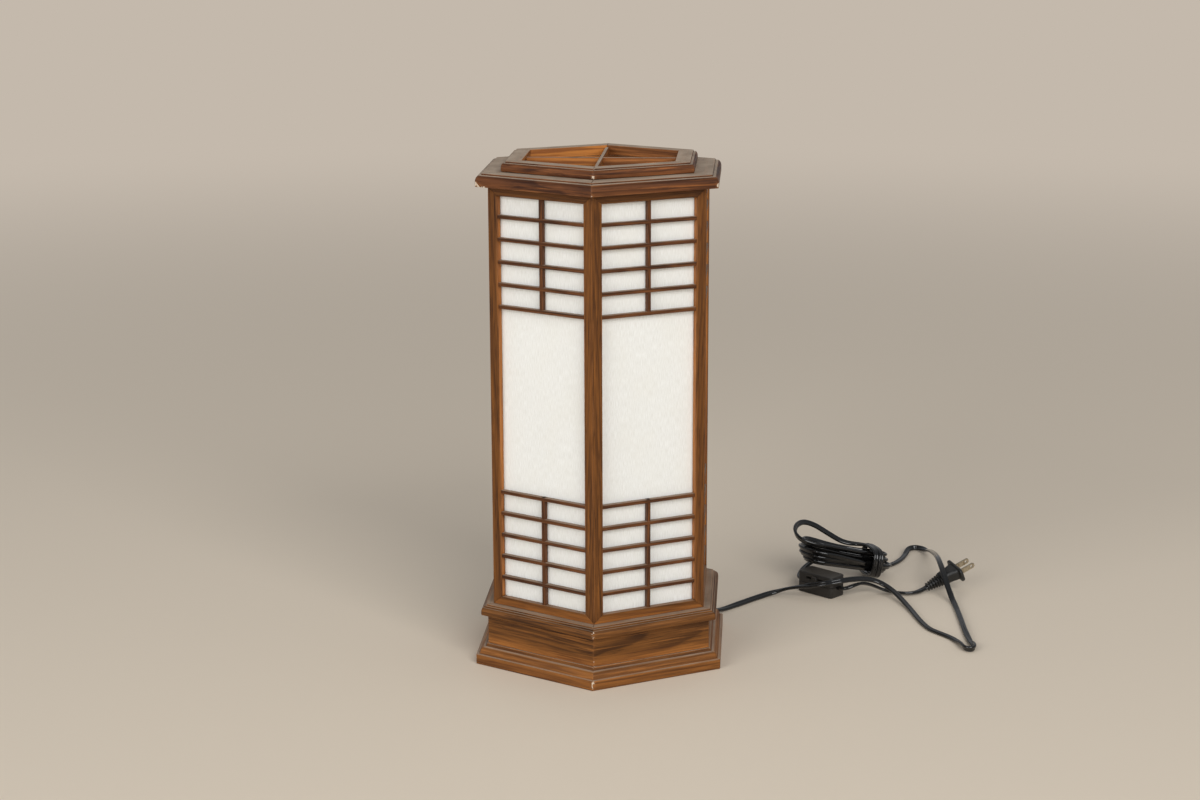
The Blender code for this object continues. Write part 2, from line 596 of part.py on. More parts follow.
# Lampholder on its nipple, and the screw bulb
def build_light():
    flange_top = BASE_BOTTOM
    flange_bottom = flange_top - NIPPLE_FLANGE_HEIGHT
    nipple_top = HOLDER_SEAT - GAP
    profile = [
        (NIPPLE_BORE, nipple_top), (NIPPLE_RADIUS, nipple_top), (NIPPLE_RADIUS, flange_top),
        (NIPPLE_FLANGE, flange_top), (NIPPLE_FLANGE, flange_bottom), (NIPPLE_RADIUS, flange_bottom),
        (NIPPLE_RADIUS, flange_bottom - NIPPLE_TAIL), (NIPPLE_BORE, flange_bottom - NIPPLE_TAIL),
    ]
    add("lampholder_nipple", turned(profile, 16), BRASS)
    holder_top = HOLDER_BOTTOM + HOLDER_HEIGHT
    bore = CAP_RADIUS + CAP_CLEARANCE
    hole = NIPPLE_RADIUS + GAP
    neck = HOLDER_RADIUS * 0.62
    profile = [
        (bore, holder_top), (HOLDER_RADIUS, holder_top), (HOLDER_RADIUS, HOLDER_SEAT + HOLDER_FLOOR / 2),
        (neck, HOLDER_BOTTOM), (hole, HOLDER_BOTTOM), (hole, HOLDER_SEAT), (bore, HOLDER_SEAT),
    ]
    add("lampholder", turned(profile, 24), PHENOLIC)
    contact_top = CONTACT_BOTTOM + CONTACT_HEIGHT
    pin = CONTACT_RADIUS / 9
    profile = [
        (pin, contact_top), (CONTACT_RADIUS, contact_top), (CONTACT_RADIUS, CONTACT_BOTTOM + CONTACT_HEIGHT / 2),
        (CONTACT_RADIUS * 0.6, CONTACT_BOTTOM), (pin, CONTACT_BOTTOM),
    ]
    add("bulb_contact", turned(profile, 16), BRASS)
    cap_top = CAP_BOTTOM + CAP_HEIGHT
    inner = CAP_RADIUS * 0.4
    shoulder = CAP_BOTTOM + CAP_HEIGHT * 0.2
    profile = [(inner, cap_top), (CAP_RADIUS, cap_top)]
    threads = 5
    thread = (cap_top - shoulder) / (threads + 1)
    for index in range(threads):
        crest = cap_top - thread * (index + 0.5)
        profile += [(CAP_RADIUS - RIB_HEIGHT / 2, crest), (CAP_RADIUS, crest - thread / 2)]
    profile += [(CAP_RADIUS - RIB_HEIGHT / 2, shoulder), (CONTACT_RADIUS, CAP_BOTTOM), (inner, CAP_BOTTOM)]
    add("bulb_cap", turned(profile, 24), ALUMINIUM)
    neck_radius = CAP_RADIUS - GLASS_WALL
    globe_centre = GLASS_BOTTOM + BULB_HEIGHT - BULB_RADIUS
    outer = arc((0, globe_centre), (BULB_RADIUS, BULB_RADIUS), 88, -25, 12)
    outer += [(neck_radius + (outer[-1][0] - neck_radius) * 0.3, GLASS_BOTTOM + BULB_HEIGHT * 0.24)]
    outer += [(neck_radius, GLASS_BOTTOM + BULB_HEIGHT * 0.08), (neck_radius, GLASS_BOTTOM)]
    inside = BULB_RADIUS - GLASS_WALL
    inner_side = [(radius - GLASS_WALL, height) for radius, height in reversed(outer[13:])]
    inner_side += arc((0, globe_centre), (inside, inside), -25, 88, 12)
    add("bulb_glass", turned(outer + inner_side, 24), OPAL_GLASS)


# Cord: smooth routes, tubes, hank and bushing
def smooth_route(points):
    """Smooth curve through the route points, with closer points in its bends; both end pieces stay straight."""
    path = np.array(points, dtype=float)
    dense = []
    for index in range(1, len(path) - 2):
        p0, p1, p2, p3 = path[index - 1:index + 3]
        for share in np.linspace(0, 1, 24, endpoint=False):
            bend = (2 * p0 - 5 * p1 + 4 * p2 - p3) * share ** 2 + (3 * p1 - p0 - 3 * p2 + p3) * share ** 3
            dense.append(0.5 * (2 * p1 + (p2 - p0) * share + bend))
    dense.append(path[-2])
    dense = np.array(dense)
    pieces = np.diff(dense, axis=0)
    lengths = np.linalg.norm(pieces, axis=1)
    headings = pieces / lengths[:, None]
    turns = np.arccos(np.clip((headings[1:] * headings[:-1]).sum(axis=1), -1, 1))
    weights = lengths / CORD_STEP
    weights[1:] += turns / CORD_TURN
    marks = np.concatenate([[0], np.cumsum(weights)])
    wanted = np.linspace(0, marks[-1], round(marks[-1]) + 1)
    inner = np.column_stack([np.interp(wanted, marks, dense[:, axis]) for axis in range(3)])
    return np.vstack([path[0], inner, path[-1]])


def tube(name, points, diameter, sides):
    """Cord as a curve with filled ends; sides is the bevel resolution."""
    curve = bpy.data.curves.new(name, "CURVE")
    curve.dimensions = "3D"
    curve.bevel_depth = diameter / 2
    curve.bevel_resolution = sides
    curve.use_fill_caps = True
    spline = curve.splines.new("POLY")
    spline.points.add(len(points) - 1)
    for point, place in zip(spline.points, points):
        point.co = (*place, 1)
    return add(name, curve, BLACK_VINYL)


def hank_frame():
    """Matrix whose X runs along the hank from left to right, Y across its loops and Z through its layers."""
    turn = Matrix.Rotation(HANK_HEADING, 4, "Z") @ Matrix.Rotation(HANK_SLOPE, 4, "Y")
    return Matrix.Translation(HANK_CENTRE) @ turn @ Matrix.Rotation(HANK_ROLL, 4, "X")


def loop_point(turn, inset):
    """Place on a loop drawn in by an inset: back run, left fold, front run, right fold."""
    left_radius = HANK_LEFT_RADIUS - inset
    right_radius = HANK_RIGHT_RADIUS - inset
    phase = turn % 1
    half_phase = phase % 0.5
    back = phase < 0.5
    if half_phase < HANK_RUN:
        share = half_phase / HANK_RUN
        share = 1 - share if back else share
        x = HANK_LEFT + (HANK_RIGHT - HANK_LEFT) * share
        y = left_radius + (right_radius - left_radius) * share
        if x > WAIST_FROM:
            y -= WAIST * math.sin(math.pi * (x - WAIST_FROM) / (HANK_RIGHT - WAIST_FROM)) ** 2
        return x, (y if back else -y)
    angle = math.pi * (half_phase - HANK_RUN) / (0.5 - HANK_RUN)
    if back:
        return HANK_LEFT - left_radius * math.sin(angle), left_radius * math.cos(angle)
    return HANK_RIGHT + right_radius * math.sin(angle), -right_radius * math.cos(angle)


def hank_winding(turn):
    """Inset and height of the winding: it spirals in and out by turns and sinks a layer on each reversing run."""
    inset = 0.0
    height = (HANK_LAYERS - 1) / 2 * HANK_LAYER
    for layer in range(HANK_LAYERS):
        begin = 1.5 * layer
        sign = 1 if layer % 2 == 0 else -1
        inset += sign * HANK_PITCH * min(max(turn - begin, 0), 1)
        if layer < HANK_LAYERS - 1:
            sunk = min(max((turn - begin - 1) / HANK_RUN, 0), 1)
            height -= HANK_LAYER * (3 * sunk ** 2 - 2 * sunk ** 3)
    return inset, height


def wrap_point(angle, x):
    """Place on the binding that goes round the waist of the hank."""
    y = WRAP_WIDTH * math.copysign(abs(math.cos(angle)) ** 0.5, math.cos(angle))
    z = WRAP_HEIGHT * math.copysign(abs(math.sin(angle)) ** 0.5, math.sin(angle))
    return x, y, z


def sprung(turn, x, y, z):
    """Move the left ends of the first loops up and out, where they spring away from the rest, the first one most."""
    share = min(max((FAN_FROM - x) / (FAN_FROM + HANK_HALF_LENGTH), 0), 1)
    share = 3 * share ** 2 - 2 * share ** 3
    share *= min(max((FAN_TURNS + FAN_FADE - turn) / FAN_FADE, 0), 1) / (1 + turn)
    first = min(max((1 - turn) / FAN_FADE, 0), 1)
    reach = FAN_REACH + first * (FIRST_FAN_REACH - FIRST_FAN_SLANT * y)
    roll = FAN_ROLL + first * FIRST_FAN_ROLL
    return x - reach * share, y, z + (FAN_LIFT + roll * y) * share


def hank_points():
    """The hank as one unbroken line: binding, a step over to the first run, and the loops."""
    points = []
    wraps = round(HANK_POINTS * WRAP_SWEEP / (2 * math.pi))
    for index in range(wraps + 1):
        swept = WRAP_SWEEP * index / wraps
        points.append(wrap_point(WRAP_START - swept, WRAP_AT - WRAP_PITCH * swept / (2 * math.pi)))
    loops = []
    turns = HANK_LAST_TURN - HANK_FIRST_TURN
    steps = round(HANK_POINTS * turns)
    for index in range(steps + 1):
        turn = HANK_FIRST_TURN + turns * index / steps
        inset, height = hank_winding(turn)
        loops.append(sprung(turn, *loop_point(turn, inset), height))
    step_over = [points[-2], points[-1], loops[0], loops[1]]
    start, end = Vector(step_over[1]), Vector(step_over[2])
    leave = (start - Vector(step_over[0])).normalized()
    arrive = (Vector(step_over[3]) - end).normalized()
    span = (end - start).length * 1.1
    link = []
    for share in (0.2, 0.4, 0.6, 0.8):
        a, b = 2 * share ** 3 - 3 * share ** 2 + 1, share ** 3 - 2 * share ** 2 + share
        c, d = -2 * share ** 3 + 3 * share ** 2, share ** 3 - share ** 2
        link.append(start * a + leave * span * b + end * c + arrive * span * d)
    line = [Vector(point) for point in points] + link + [Vector(point) for point in loops]
    line.insert(0, line[0] + (line[0] - line[1]).normalized() * CORD_DIAMETER)
    line.append(line[-1] + (line[-1] - line[-2]).normalized() * CORD_DIAMETER)
    frame = hank_frame()
    return np.array([tuple(frame @ point) for point in line])


def least_gap(points, diameter):
    """Smallest space between parts of a cord that are more than four diameters apart along it."""
    lengths = np.concatenate([[0], np.cumsum(np.linalg.norm(np.diff(points, axis=0), axis=1))])
    marks = np.arange(0, lengths[-1], diameter / 4)
    dense = np.column_stack([np.interp(marks, lengths, points[:, axis]) for axis in range(3)])
    apart = np.linalg.norm(dense[:, None] - dense[None], axis=2)
    near = np.abs(marks[:, None] - marks[None]) < 4 * diameter
    apart[near] = 1.0
    return apart.min() - diameter


def length_of(points):
    return float(np.linalg.norm(np.diff(points, axis=0), axis=1).sum())


def metres(route):
    return [tuple(value * MM for value in point) for point in route]


def dimmer_frame():
    return Matrix.Translation((*DIMMER_CENTRE, 0)) @ Matrix.Rotation(DIMMER_HEADING, 4, "Z")


def plug_frame():
    """Matrix at the tail of the plug: X along the plug, Y along its flange, Z through its thickness."""
    turn = Matrix.Rotation(PLUG_HEADING, 4, "Z") @ Matrix.Rotation(-PLUG_TILT, 4, "Y")
    return Matrix.Translation(PLUG_TAIL) @ turn @ Matrix.Rotation(PLUG_ROLL + math.pi, 4, "X")


def build_cord():
    outer_face = bushing_matrix(FOOT_APOTHEM + GAP)
    flange_radius = BUSHING_RADIUS + BUSHING_FLANGE
    profile = [
        (BUSHING_BORE, BUSHING_FLANGE_LENGTH), (flange_radius - BUSHING_FLANGE / 2, BUSHING_FLANGE_LENGTH),
        (flange_radius, BUSHING_FLANGE_LENGTH / 2), (flange_radius, 0), (BUSHING_RADIUS, 0),
        (BUSHING_RADIUS, -BUSHING_BARREL), (BUSHING_BORE, -BUSHING_BARREL),
    ]
    bushing = turned(profile, 20)
    bushing.transform(outer_face)
    add("cord_bushing", bushing, BLACK_PLASTIC)

    def along_bushing(distance):
        return tuple(outer_face @ Vector((0, 0, distance)))

    winding = hank_points()
    hank = tube("cord_hank", winding, CORD_DIAMETER, 1)
    arrival = Vector(winding[0]) - Vector(winding[1])
    arrival.normalize()
    start = Vector(winding[0])
    to_hank = [along_bushing(GAP / 2), along_bushing(BUSHING_FLANGE_LENGTH + CORD_DIAMETER)]
    to_hank += metres(FLOOR_ROUTE)
    to_hank += [tuple(start + arrival * CORD_DIAMETER), tuple(start + arrival * GAP)]
    stretch = smooth_route(to_hank)
    tube("cord_to_hank", stretch, CORD_DIAMETER, 2)
    departure = Vector(winding[-1]) - Vector(winding[-2])
    departure.normalize()
    end = Vector(winding[-1])
    case = dimmer_frame()
    far_end = Vector((-DIMMER_LENGTH / 2 - GAP, 0, DIMMER_CORD_HEIGHT))
    near_end = Vector((DIMMER_LENGTH / 2 + GAP, 0, DIMMER_CORD_HEIGHT))
    step = Vector((CORD_DIAMETER, 0, 0))
    to_dimmer = [tuple(end + departure * GAP), tuple(end + departure * CORD_DIAMETER)]
    to_dimmer += metres(DIMMER_ROUTE)
    to_dimmer += [tuple(case @ (far_end - step)), tuple(case @ far_end)]
    link = smooth_route(to_dimmer)
    tube("cord_to_dimmer", link, CORD_DIAMETER, 2)
    plug = plug_frame()
    to_plug = [tuple(case @ near_end), tuple(case @ (near_end + step))]
    to_plug += metres(LEAD_ROUTE)
    to_plug += [tuple(plug @ Vector((-CORD_DIAMETER, 0, 0))), tuple(plug @ Vector((-GAP, 0, 0)))]
    lead = smooth_route(to_plug)
    tube("plug_lead", lead, CORD_DIAMETER, 2)
    nipple_bottom = BASE_BOTTOM - NIPPLE_FLANGE_HEIGHT - NIPPLE_TAIL
    inside = [along_bushing(-GAP / 2), along_bushing(-BUSHING_BARREL), along_bushing(-BUSHING_BARREL - INNER_LEAD_DROP)]
    last = Vector(inside[-1])
    inside += [(last.x * 0.55, last.y * 0.55, BUSHING_HEIGHT * 0.8)]
    inside += [(last.x * 0.16, last.y * 0.16, nipple_bottom - 2 * INNER_LEAD_DROP)]
    inside += [(0, 0, nipple_bottom - CORD_DIAMETER), (0, 0, nipple_bottom - GAP)]
    inner = smooth_route(inside)
    tube("inner_lead", inner, CORD_DIAMETER, 2)
    print("hank least gap mm", round(least_gap(winding, CORD_DIAMETER) * 1000, 2))
    for name, points in (("to hank", stretch), ("hank", winding), ("to dimmer", link), ("plug lead", lead)):
        print("cord length mm", name, round(length_of(points) * 1000), "lowest", round(points[:, 2].min() * 1000, 2))
    return hank


# In-line dimmer: two shells and a slider on its long side
def build_dimmer():
    place = dimmer_frame()
    half = DIMMER_HEIGHT / 2
    outer = rounded_rectangle(DIMMER_LENGTH, DIMMER_WIDTH, DIMMER_CORNER)
    inner = rounded_rectangle(
        DIMMER_LENGTH - 2 * DIMMER_WALL, DIMMER_WIDTH - 2 * DIMMER_WALL, DIMMER_CORNER - DIMMER_WALL
    )
    low_height = half - GAP / 2
    base = plate(outer, low_height, Matrix.Translation((0, 0, low_height / 2)))
    pocket = plate(inner, low_height, Matrix.Translation((0, 0, DIMMER_WALL + low_height / 2)))
    base = cut(base, pocket)
    base.transform(place)
    add("dimmer_base", base, BLACK_PLASTIC)
    cover_bottom = half + GAP / 2
    cover_height = DIMMER_HEIGHT - cover_bottom
    cover = plate(outer, cover_height, Matrix.Translation((0, 0, cover_bottom + cover_height / 2)))
    pocket = plate(inner, cover_height, Matrix.Translation((0, 0, cover_bottom - DIMMER_WALL + cover_height / 2)))
    cover = cut(cover, pocket)
    slot_length = SLIDER_LENGTH + 2 * (SLIDER_TRAVEL + GAP)
    slot_height = SLIDER_STEM + 2 * GAP
    side = -DIMMER_WIDTH / 2
    slot = box((slot_length, 3 * DIMMER_WALL, slot_height), (0, side + DIMMER_WALL / 2, SLIDER_HEIGHT))
    cover = cut(cover, slot)
    cover.transform(place)
    add("dimmer_cover", cover, BLACK_PLASTIC)
    stem, head = SLIDER_STEM / 2, SLIDER_HEAD / 2
    outside = side - GAP
    behind = side + DIMMER_WALL + GAP
    outline = [
        (outside - SLIDER_PROUD, -head), (outside, -head), (outside, -stem), (behind, -stem), (behind, -head),
        (behind + SLIDER_PROUD, -head), (behind + SLIDER_PROUD, head), (behind, head), (behind, stem),
        (outside, stem), (outside, head), (outside - SLIDER_PROUD, head),
    ]
    lengthwise = Matrix(((0, 0, 1, 0), (1, 0, 0, 0), (0, 1, 0, 0), (0, 0, 0, 1)))
    slider = plate(outline, SLIDER_LENGTH, lengthwise)
    add("dimmer_slider", slider, BLACK_PLASTIC, place @ Matrix.Translation((0, 0, SLIDER_HEIGHT)))


# Two-blade plug with a ribbed strain relief
def build_plug():
    place = plug_frame()
    forward = Matrix.Rotation(math.radians(90), 4, "Y")
    ribs = []
    for index in range(RELIEF_RIBS):
        share = index / RELIEF_RIBS
        radius = RELIEF_THIN + (RELIEF_THICK - RELIEF_THIN) * share
        start = RELIEF_LENGTH * share
        width = RELIEF_LENGTH / RELIEF_RIBS / 2
        ribs += [(radius + RIB_HEIGHT, start), (radius + RIB_HEIGHT, start + width)]
        ribs += [(radius, start + width), (radius, start + 2 * width)]
    grip_start = RELIEF_LENGTH - RIB_HEIGHT
    grip_end = RELIEF_LENGTH + GRIP_LENGTH
    bore = RELIEF_THIN / 4
    relief_profile = [(bore, 0)] + ribs + [(bore, RELIEF_LENGTH)]
    relief = turned(list(reversed(relief_profile)), 14)
    relief.transform(forward)
    half = GRIP_WIDTH / 2
    waist = half * 0.72
    grip_outline = [
        (grip_start, -waist), (grip_start + GRIP_LENGTH * 0.35, -waist), (grip_end, -half),
        (grip_end, half), (grip_start + GRIP_LENGTH * 0.35, waist), (grip_start, waist),
    ]
    grip = plate(grip_outline, GRIP_THICKNESS, Matrix.Identity(4))
    flange_outline = rounded_rectangle(FLANGE_WIDTH, FLANGE_LENGTH, FLANGE_WIDTH * 0.45)
    flange_place = Matrix.Translation((grip_end + FLANGE_THICKNESS / 2 - GAP, 0, 0)) @ forward
    flange = plate(flange_outline, FLANGE_THICKNESS, flange_place)
    body = cut(cut(grip, flange, "UNION"), relief, "UNION")
    body.transform(place)
    add("plug_body", body, BLACK_VINYL)
    face = grip_end + FLANGE_THICKNESS
    half_width = BLADE_WIDTH / 2
    nose = half_width * 0.5
    outline = [
        (face, -half_width), (face + BLADE_LENGTH - nose, -half_width), (face + BLADE_LENGTH, -half_width + nose),
        (face + BLADE_LENGTH, half_width - nose), (face + BLADE_LENGTH - nose, half_width), (face, half_width),
    ]
    for name, side in (("plug_blade_left", -1), ("plug_blade_right", 1)):
        flat = Matrix.Translation((0, side * BLADE_SPACING / 2, 0)) @ Matrix.Rotation(math.radians(90), 4, "X")
        blade = plate(outline, BLADE_THICKNESS, flat)
        hole_outline = arc((face + BLADE_LENGTH - BLADE_WIDTH * 0.6, 0), (BLADE_HOLE, BLADE_HOLE), 0, 330, 11)
        hole = plate(hole_outline, 3 * BLADE_THICKNESS, flat)
        blade = cut(blade, hole)
        blade.transform(place)
        add(name, blade, NICKEL)


build_base()
build_shade()
build_roof()
build_light()
build_cord()
build_dimmer()
build_plug()
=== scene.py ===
import math
import random

import bmesh
import bpy
import numpy as np
from mathutils import Matrix, Vector


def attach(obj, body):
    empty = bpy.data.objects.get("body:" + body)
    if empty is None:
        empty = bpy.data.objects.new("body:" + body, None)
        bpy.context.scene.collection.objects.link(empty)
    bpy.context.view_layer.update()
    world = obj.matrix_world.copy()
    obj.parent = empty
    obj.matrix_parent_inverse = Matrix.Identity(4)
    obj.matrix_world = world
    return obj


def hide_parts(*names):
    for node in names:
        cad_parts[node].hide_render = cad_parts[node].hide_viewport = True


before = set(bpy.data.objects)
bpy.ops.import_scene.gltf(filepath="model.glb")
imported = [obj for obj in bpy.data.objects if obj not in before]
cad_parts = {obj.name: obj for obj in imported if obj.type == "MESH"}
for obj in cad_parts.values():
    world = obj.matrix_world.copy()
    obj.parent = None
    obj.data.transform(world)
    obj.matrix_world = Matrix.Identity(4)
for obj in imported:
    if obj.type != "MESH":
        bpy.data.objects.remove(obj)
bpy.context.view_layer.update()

# Foot moulding: six lengths of stained softwood with an ogee run along the upper edge, mitred and glued under
# the plinth. The length at the back right has an arch sawn into it from below, for the cord's bushing.
MITRE, CORNER = math.tan(math.pi / 6), 1 / math.cos(math.pi / 6)
MITRE_SEAM, END_STRETCH = 0.00006, 0.004
END_EASING = ((0.0, 0.00022, 1.0), (0.0003, 0.0, 1.0), (0.0012, 0.0, 0.3))
BACK_RIGHT, KNOCKED_BARE = 2, 1.75
PLINTH_APOTHEM, PLINTH_INNER, FOOT_APOTHEM = 0.1122, 0.1002, 0.124
FOOT_HEIGHT, FOOT_FACE, FOOT_STEP = 0.020, 0.010, 0.0014
ARCH_OFFSET, ARCH_HEIGHT, ARCH_RADIUS = -0.048, 0.0074, 0.005


def srgb(red, green, blue):
    """A colour as seen, 0 to 255, as the shader's linear value."""
    seen = [value / 255 for value in (red, green, blue)]
    return tuple(v / 12.92 if v <= 0.04045 else ((v + 0.055) / 1.055) ** 2.4 for v in seen) + (1.0,)


def node(tree, kind, inputs=(), **settings):
    """Adds one node; inputs maps its sockets to other sockets or to plain values."""
    made = tree.nodes.new(kind)
    for name, value in settings.items():
        setattr(made, name, value)
    for key, value in dict(inputs).items():
        if isinstance(value, bpy.types.NodeSocket):
            tree.links.new(value, made.inputs[key])
        else:
            made.inputs[key].default_value = value
    return made


def maths(tree, operation, *values):
    return node(tree, "ShaderNodeMath", enumerate(values), operation=operation).outputs[0]


def noise(tree, place, stretch, detail=2.0, roughness=0.5, output="Fac"):
    """Noise on a place stretched along its three axes, in cycles for each metre."""
    spread = node(tree, "ShaderNodeVectorMath", {0: place, 1: stretch}, operation="MULTIPLY").outputs[0]
    settings = {"Vector": spread, "Scale": 1.0, "Detail": detail, "Roughness": roughness}
    return node(tree, "ShaderNodeTexNoise", settings).outputs[output]


def eased_range(tree, value, low, high, start=0.0, end=1.0):
    settings = {"Value": value, "From Min": low, "From Max": high, "To Min": start, "To Max": end}
    return node(tree, "ShaderNodeMapRange", settings, interpolation_type="SMOOTHSTEP").outputs[0]


def mixed(tree, factor, first, second, mode="MIX"):
    settings = {0: factor, 6: first, 7: second}
    return node(tree, "ShaderNodeMix", settings, data_type="RGBA", blend_type=mode).outputs[2]


def new_effect(name, inputs, outputs):
    """An empty shader group; an input has a plain value, or none where it is a place."""
    tree = bpy.data.node_groups.new(name, "ShaderNodeTree")
    for socket, value in inputs.items():
        kind = "NodeSocketVector" if value is None else "NodeSocketFloat"
        made = tree.interface.new_socket(socket, in_out="INPUT", socket_type=kind)
        if value is not None:
            made.default_value = value
    for socket in outputs:
        tree.interface.new_socket(socket, in_out="OUTPUT", socket_type="NodeSocketFloat")
    return tree, tree.nodes.new("NodeGroupInput").outputs, tree.nodes.new("NodeGroupOutput").inputs


def placed(tree, group, inputs):
    return node(tree, "ShaderNodeGroup", inputs, node_tree=group).outputs


tree, given, result = new_effect(
    "sawn_grain", {"Place": None, "Ring Spacing": 0.004, "Wander": 0.006},
    ["Figure", "Fibre", "Streak", "Blotch"],
)
sawn_grain = tree
axes = node(tree, "ShaderNodeSeparateXYZ", {0: given["Place"]}).outputs
sway = noise(tree, given["Place"], (9, 42, 42), output="Color")
sway = node(tree, "ShaderNodeSeparateXYZ", {0: sway}).outputs
across = []
for axis, swing in ((axes[1], sway[0]), (axes[2], sway[1])):
    swing = maths(tree, "MULTIPLY", maths(tree, "SUBTRACT", swing, 0.5), given["Wander"])
    across.append(maths(tree, "ADD", axis, swing))
across[0] = maths(tree, "MULTIPLY_ADD", axes[0], 0.055, across[0])
squares = [maths(tree, "MULTIPLY", value, value) for value in across]
radius = maths(tree, "SQRT", maths(tree, "ADD", *squares))
rings = maths(tree, "DIVIDE", radius, given["Ring Spacing"])
fine = noise(tree, given["Place"], (34, 700, 700), 3.0, 0.7)
rings = maths(tree, "MULTIPLY_ADD", fine, 0.22, rings)
year = maths(tree, "FRACT", rings)
early = eased_range(tree, year, 0.15, 0.86)
late = eased_range(tree, year, 0.86, 1.0, 1.0, 0.0)
tree.links.new(maths(tree, "MULTIPLY", early, late), result["Figure"])
tree.links.new(fine, result["Fibre"])
tree.links.new(noise(tree, given["Place"], (11, 430, 430), 4.0, 0.62), result["Streak"])
tree.links.new(noise(tree, given["Place"], (7, 24, 24)), result["Blotch"])

# Chips and rubbing on the arrises where the mark is above zero, and painted shade where it is below zero: in
# hollow corners and under overhangs.
tree, given, result = new_effect(
    "edge_wear_and_hollow_shade", {"Place": None, "Wear And Shade": 0.0, "Amount": 0.0}, ["Chips", "Rubbed", "Painted Shade"]
)
edge_wear_and_hollow_shade = tree
speck = noise(tree, given["Place"], (210, 230, 230), 4.0, 0.65)
reach = maths(tree, "MULTIPLY_ADD", given["Wear And Shade"], 0.28, speck)
reach = maths(tree, "ADD", reach, given["Amount"])
tree.links.new(eased_range(tree, reach, 0.93, 0.97), result["Chips"])
slow = noise(tree, given["Place"], (40, 60, 60))
lightened = eased_range(tree, slow, 0.35, 0.7)
raised = node(tree, "ShaderNodeClamp", {"Value": given["Wear And Shade"]}).outputs[0]
tree.links.new(maths(tree, "MULTIPLY", raised, lightened), result["Rubbed"])
sunk = maths(tree, "MULTIPLY", given["Wear And Shade"], -1.0)
sunk = node(tree, "ShaderNodeClamp", {"Value": sunk}).outputs[0]
tree.links.new(sunk, result["Painted Shade"])

tree, given, result = new_effect("settled_dust", {"Place": None, "Amount": 0.5}, ["Dust"])
settled_dust = tree
facing = node(tree, "ShaderNodeNewGeometry").outputs["Normal"]
facing = node(tree, "ShaderNodeSeparateXYZ", {0: facing}).outputs[2]
level = eased_range(tree, facing, 0.8, 1.0)
patch = noise(tree, given["Place"], (34, 70, 70), 4.0, 0.62)
patch = eased_range(tree, patch, 0.25, 0.75, 0.6, 1.0)
layer = maths(tree, "MULTIPLY", maths(tree, "MULTIPLY", level, patch), given["Amount"])
tree.links.new(layer, result["Dust"])


def new_material(name, values=()):
    """A new material, with plain values set on its shader's own sockets."""
    material = bpy.data.materials.new(name)
    material.use_nodes = True
    for socket, value in dict(values).items():
        material.node_tree.nodes["Principled BSDF"].inputs[socket].default_value = value
    return material, material.node_tree


def mesh_value(tree, name, output="Fac"):
    return node(tree, "ShaderNodeAttribute", attribute_name=name).outputs[output]


def coated(tree, colour, roughness, height, strength, depth):
    """Gives a material its colour, its sheen and its fine relief."""
    bump = node(tree, "ShaderNodeBump", {"Height": height, "Strength": strength, "Distance": depth})
    looks = {"Base Color": colour, "Roughness": roughness, "Normal": bump.outputs["Normal"]}
    for socket, look in looks.items():
        tree.links.new(look, tree.nodes["Principled BSDF"].inputs[socket])


def stained_wood(name, dark, middle, light, spacing=0.0042, wander=0.006, chips=-0.04, dust=0.5, figure=0.7):
    """Softwood under a brown stain and a satin lacquer rubbed thin. It follows the grain kept on the mesh and a
    mark for chips and rubbing on the arrises and for painted shade in hollows and under overhangs; where the
    mesh says, it turns to a paler tone, for faces that took little stain and for painted reflected light.
    """
    material, tree = new_material(name, {"Specular IOR Level": 0.2})
    place, worn_and_shaded = mesh_value(tree, "grain", "Vector"), mesh_value(tree, "wear_and_shade")
    grain = placed(tree, sawn_grain, {"Place": place, "Ring Spacing": spacing, "Wander": wander})
    edges = placed(tree, edge_wear_and_hollow_shade, {"Place": place, "Wear And Shade": worn_and_shaded, "Amount": chips})
    dusty = placed(tree, settled_dust, {"Place": place, "Amount": dust})
    colour = mixed(tree, maths(tree, "MULTIPLY", grain["Figure"], figure), middle, dark)
    colour = mixed(tree, eased_range(tree, grain["Streak"], 0.48, 0.28, 0.0, 0.9), colour, light)
    colour = mixed(tree, eased_range(tree, grain["Streak"], 0.52, 0.72, 0.0, 0.9), colour, dark)
    colour = mixed(tree, eased_range(tree, grain["Fibre"], 0.5, 0.68, 0.0, 0.8), colour, dark)
    colour = mixed(tree, eased_range(tree, grain["Blotch"], 0.46, 0.75, 0.0, 0.3), colour, light)
    # A paler orange tone where the mesh says: on faces that took little stain, and as painted reflected light
    # on the stiles' inner sides and the plinth's lower part.
    unstained_and_lit_tone = mixed(tree, eased_range(tree, grain["Streak"], 0.42, 0.64), srgb(206, 132, 64), srgb(150, 90, 46))
    colour = mixed(tree, mesh_value(tree, "lightened"), colour, unstained_and_lit_tone)
    rubbed = maths(tree, "MULTIPLY", edges["Rubbed"], 0.4)
    colour = mixed(tree, rubbed, colour, srgb(158, 104, 60))
    # Painted shade: dark brown where the mark is below zero, in hollow corners, along the foot's bottom edge,
    # the plinth's top edge and all over the top rails.
    painted_shade = maths(tree, "MULTIPLY", edges["Painted Shade"], 0.42)
    colour = mixed(tree, painted_shade, colour, srgb(40, 24, 15))
    colour = mixed(tree, dusty["Dust"], colour, srgb(190, 170, 148))
    colour = mixed(tree, edges["Chips"], colour, srgb(206, 188, 166))
    sheen = eased_range(tree, grain["Fibre"], 0.3, 0.7, 0.40, 0.54)
    sheen = maths(tree, "MULTIPLY_ADD", dusty["Dust"], 0.3, sheen)
    height = maths(tree, "MULTIPLY_ADD", grain["Figure"], 0.5, grain["Fibre"])
    height = maths(tree, "MULTIPLY_ADD", edges["Chips"], -1.2, height)
    coated(tree, colour, sheen, height, 0.35, 0.00025)
    return material


def side_turn(side):
    """Turn that carries a length made facing -Y to one of the six sides."""
    return Matrix.Rotation(math.radians(30 + 60 * side), 3, "Z")


def arc(centre, size, start, end, steps):
    angles = np.radians(np.linspace(start, end, steps + 1))
    return [(centre[0] + size[0] * math.cos(a), centre[1] + size[1] * math.sin(a)) for a in angles]


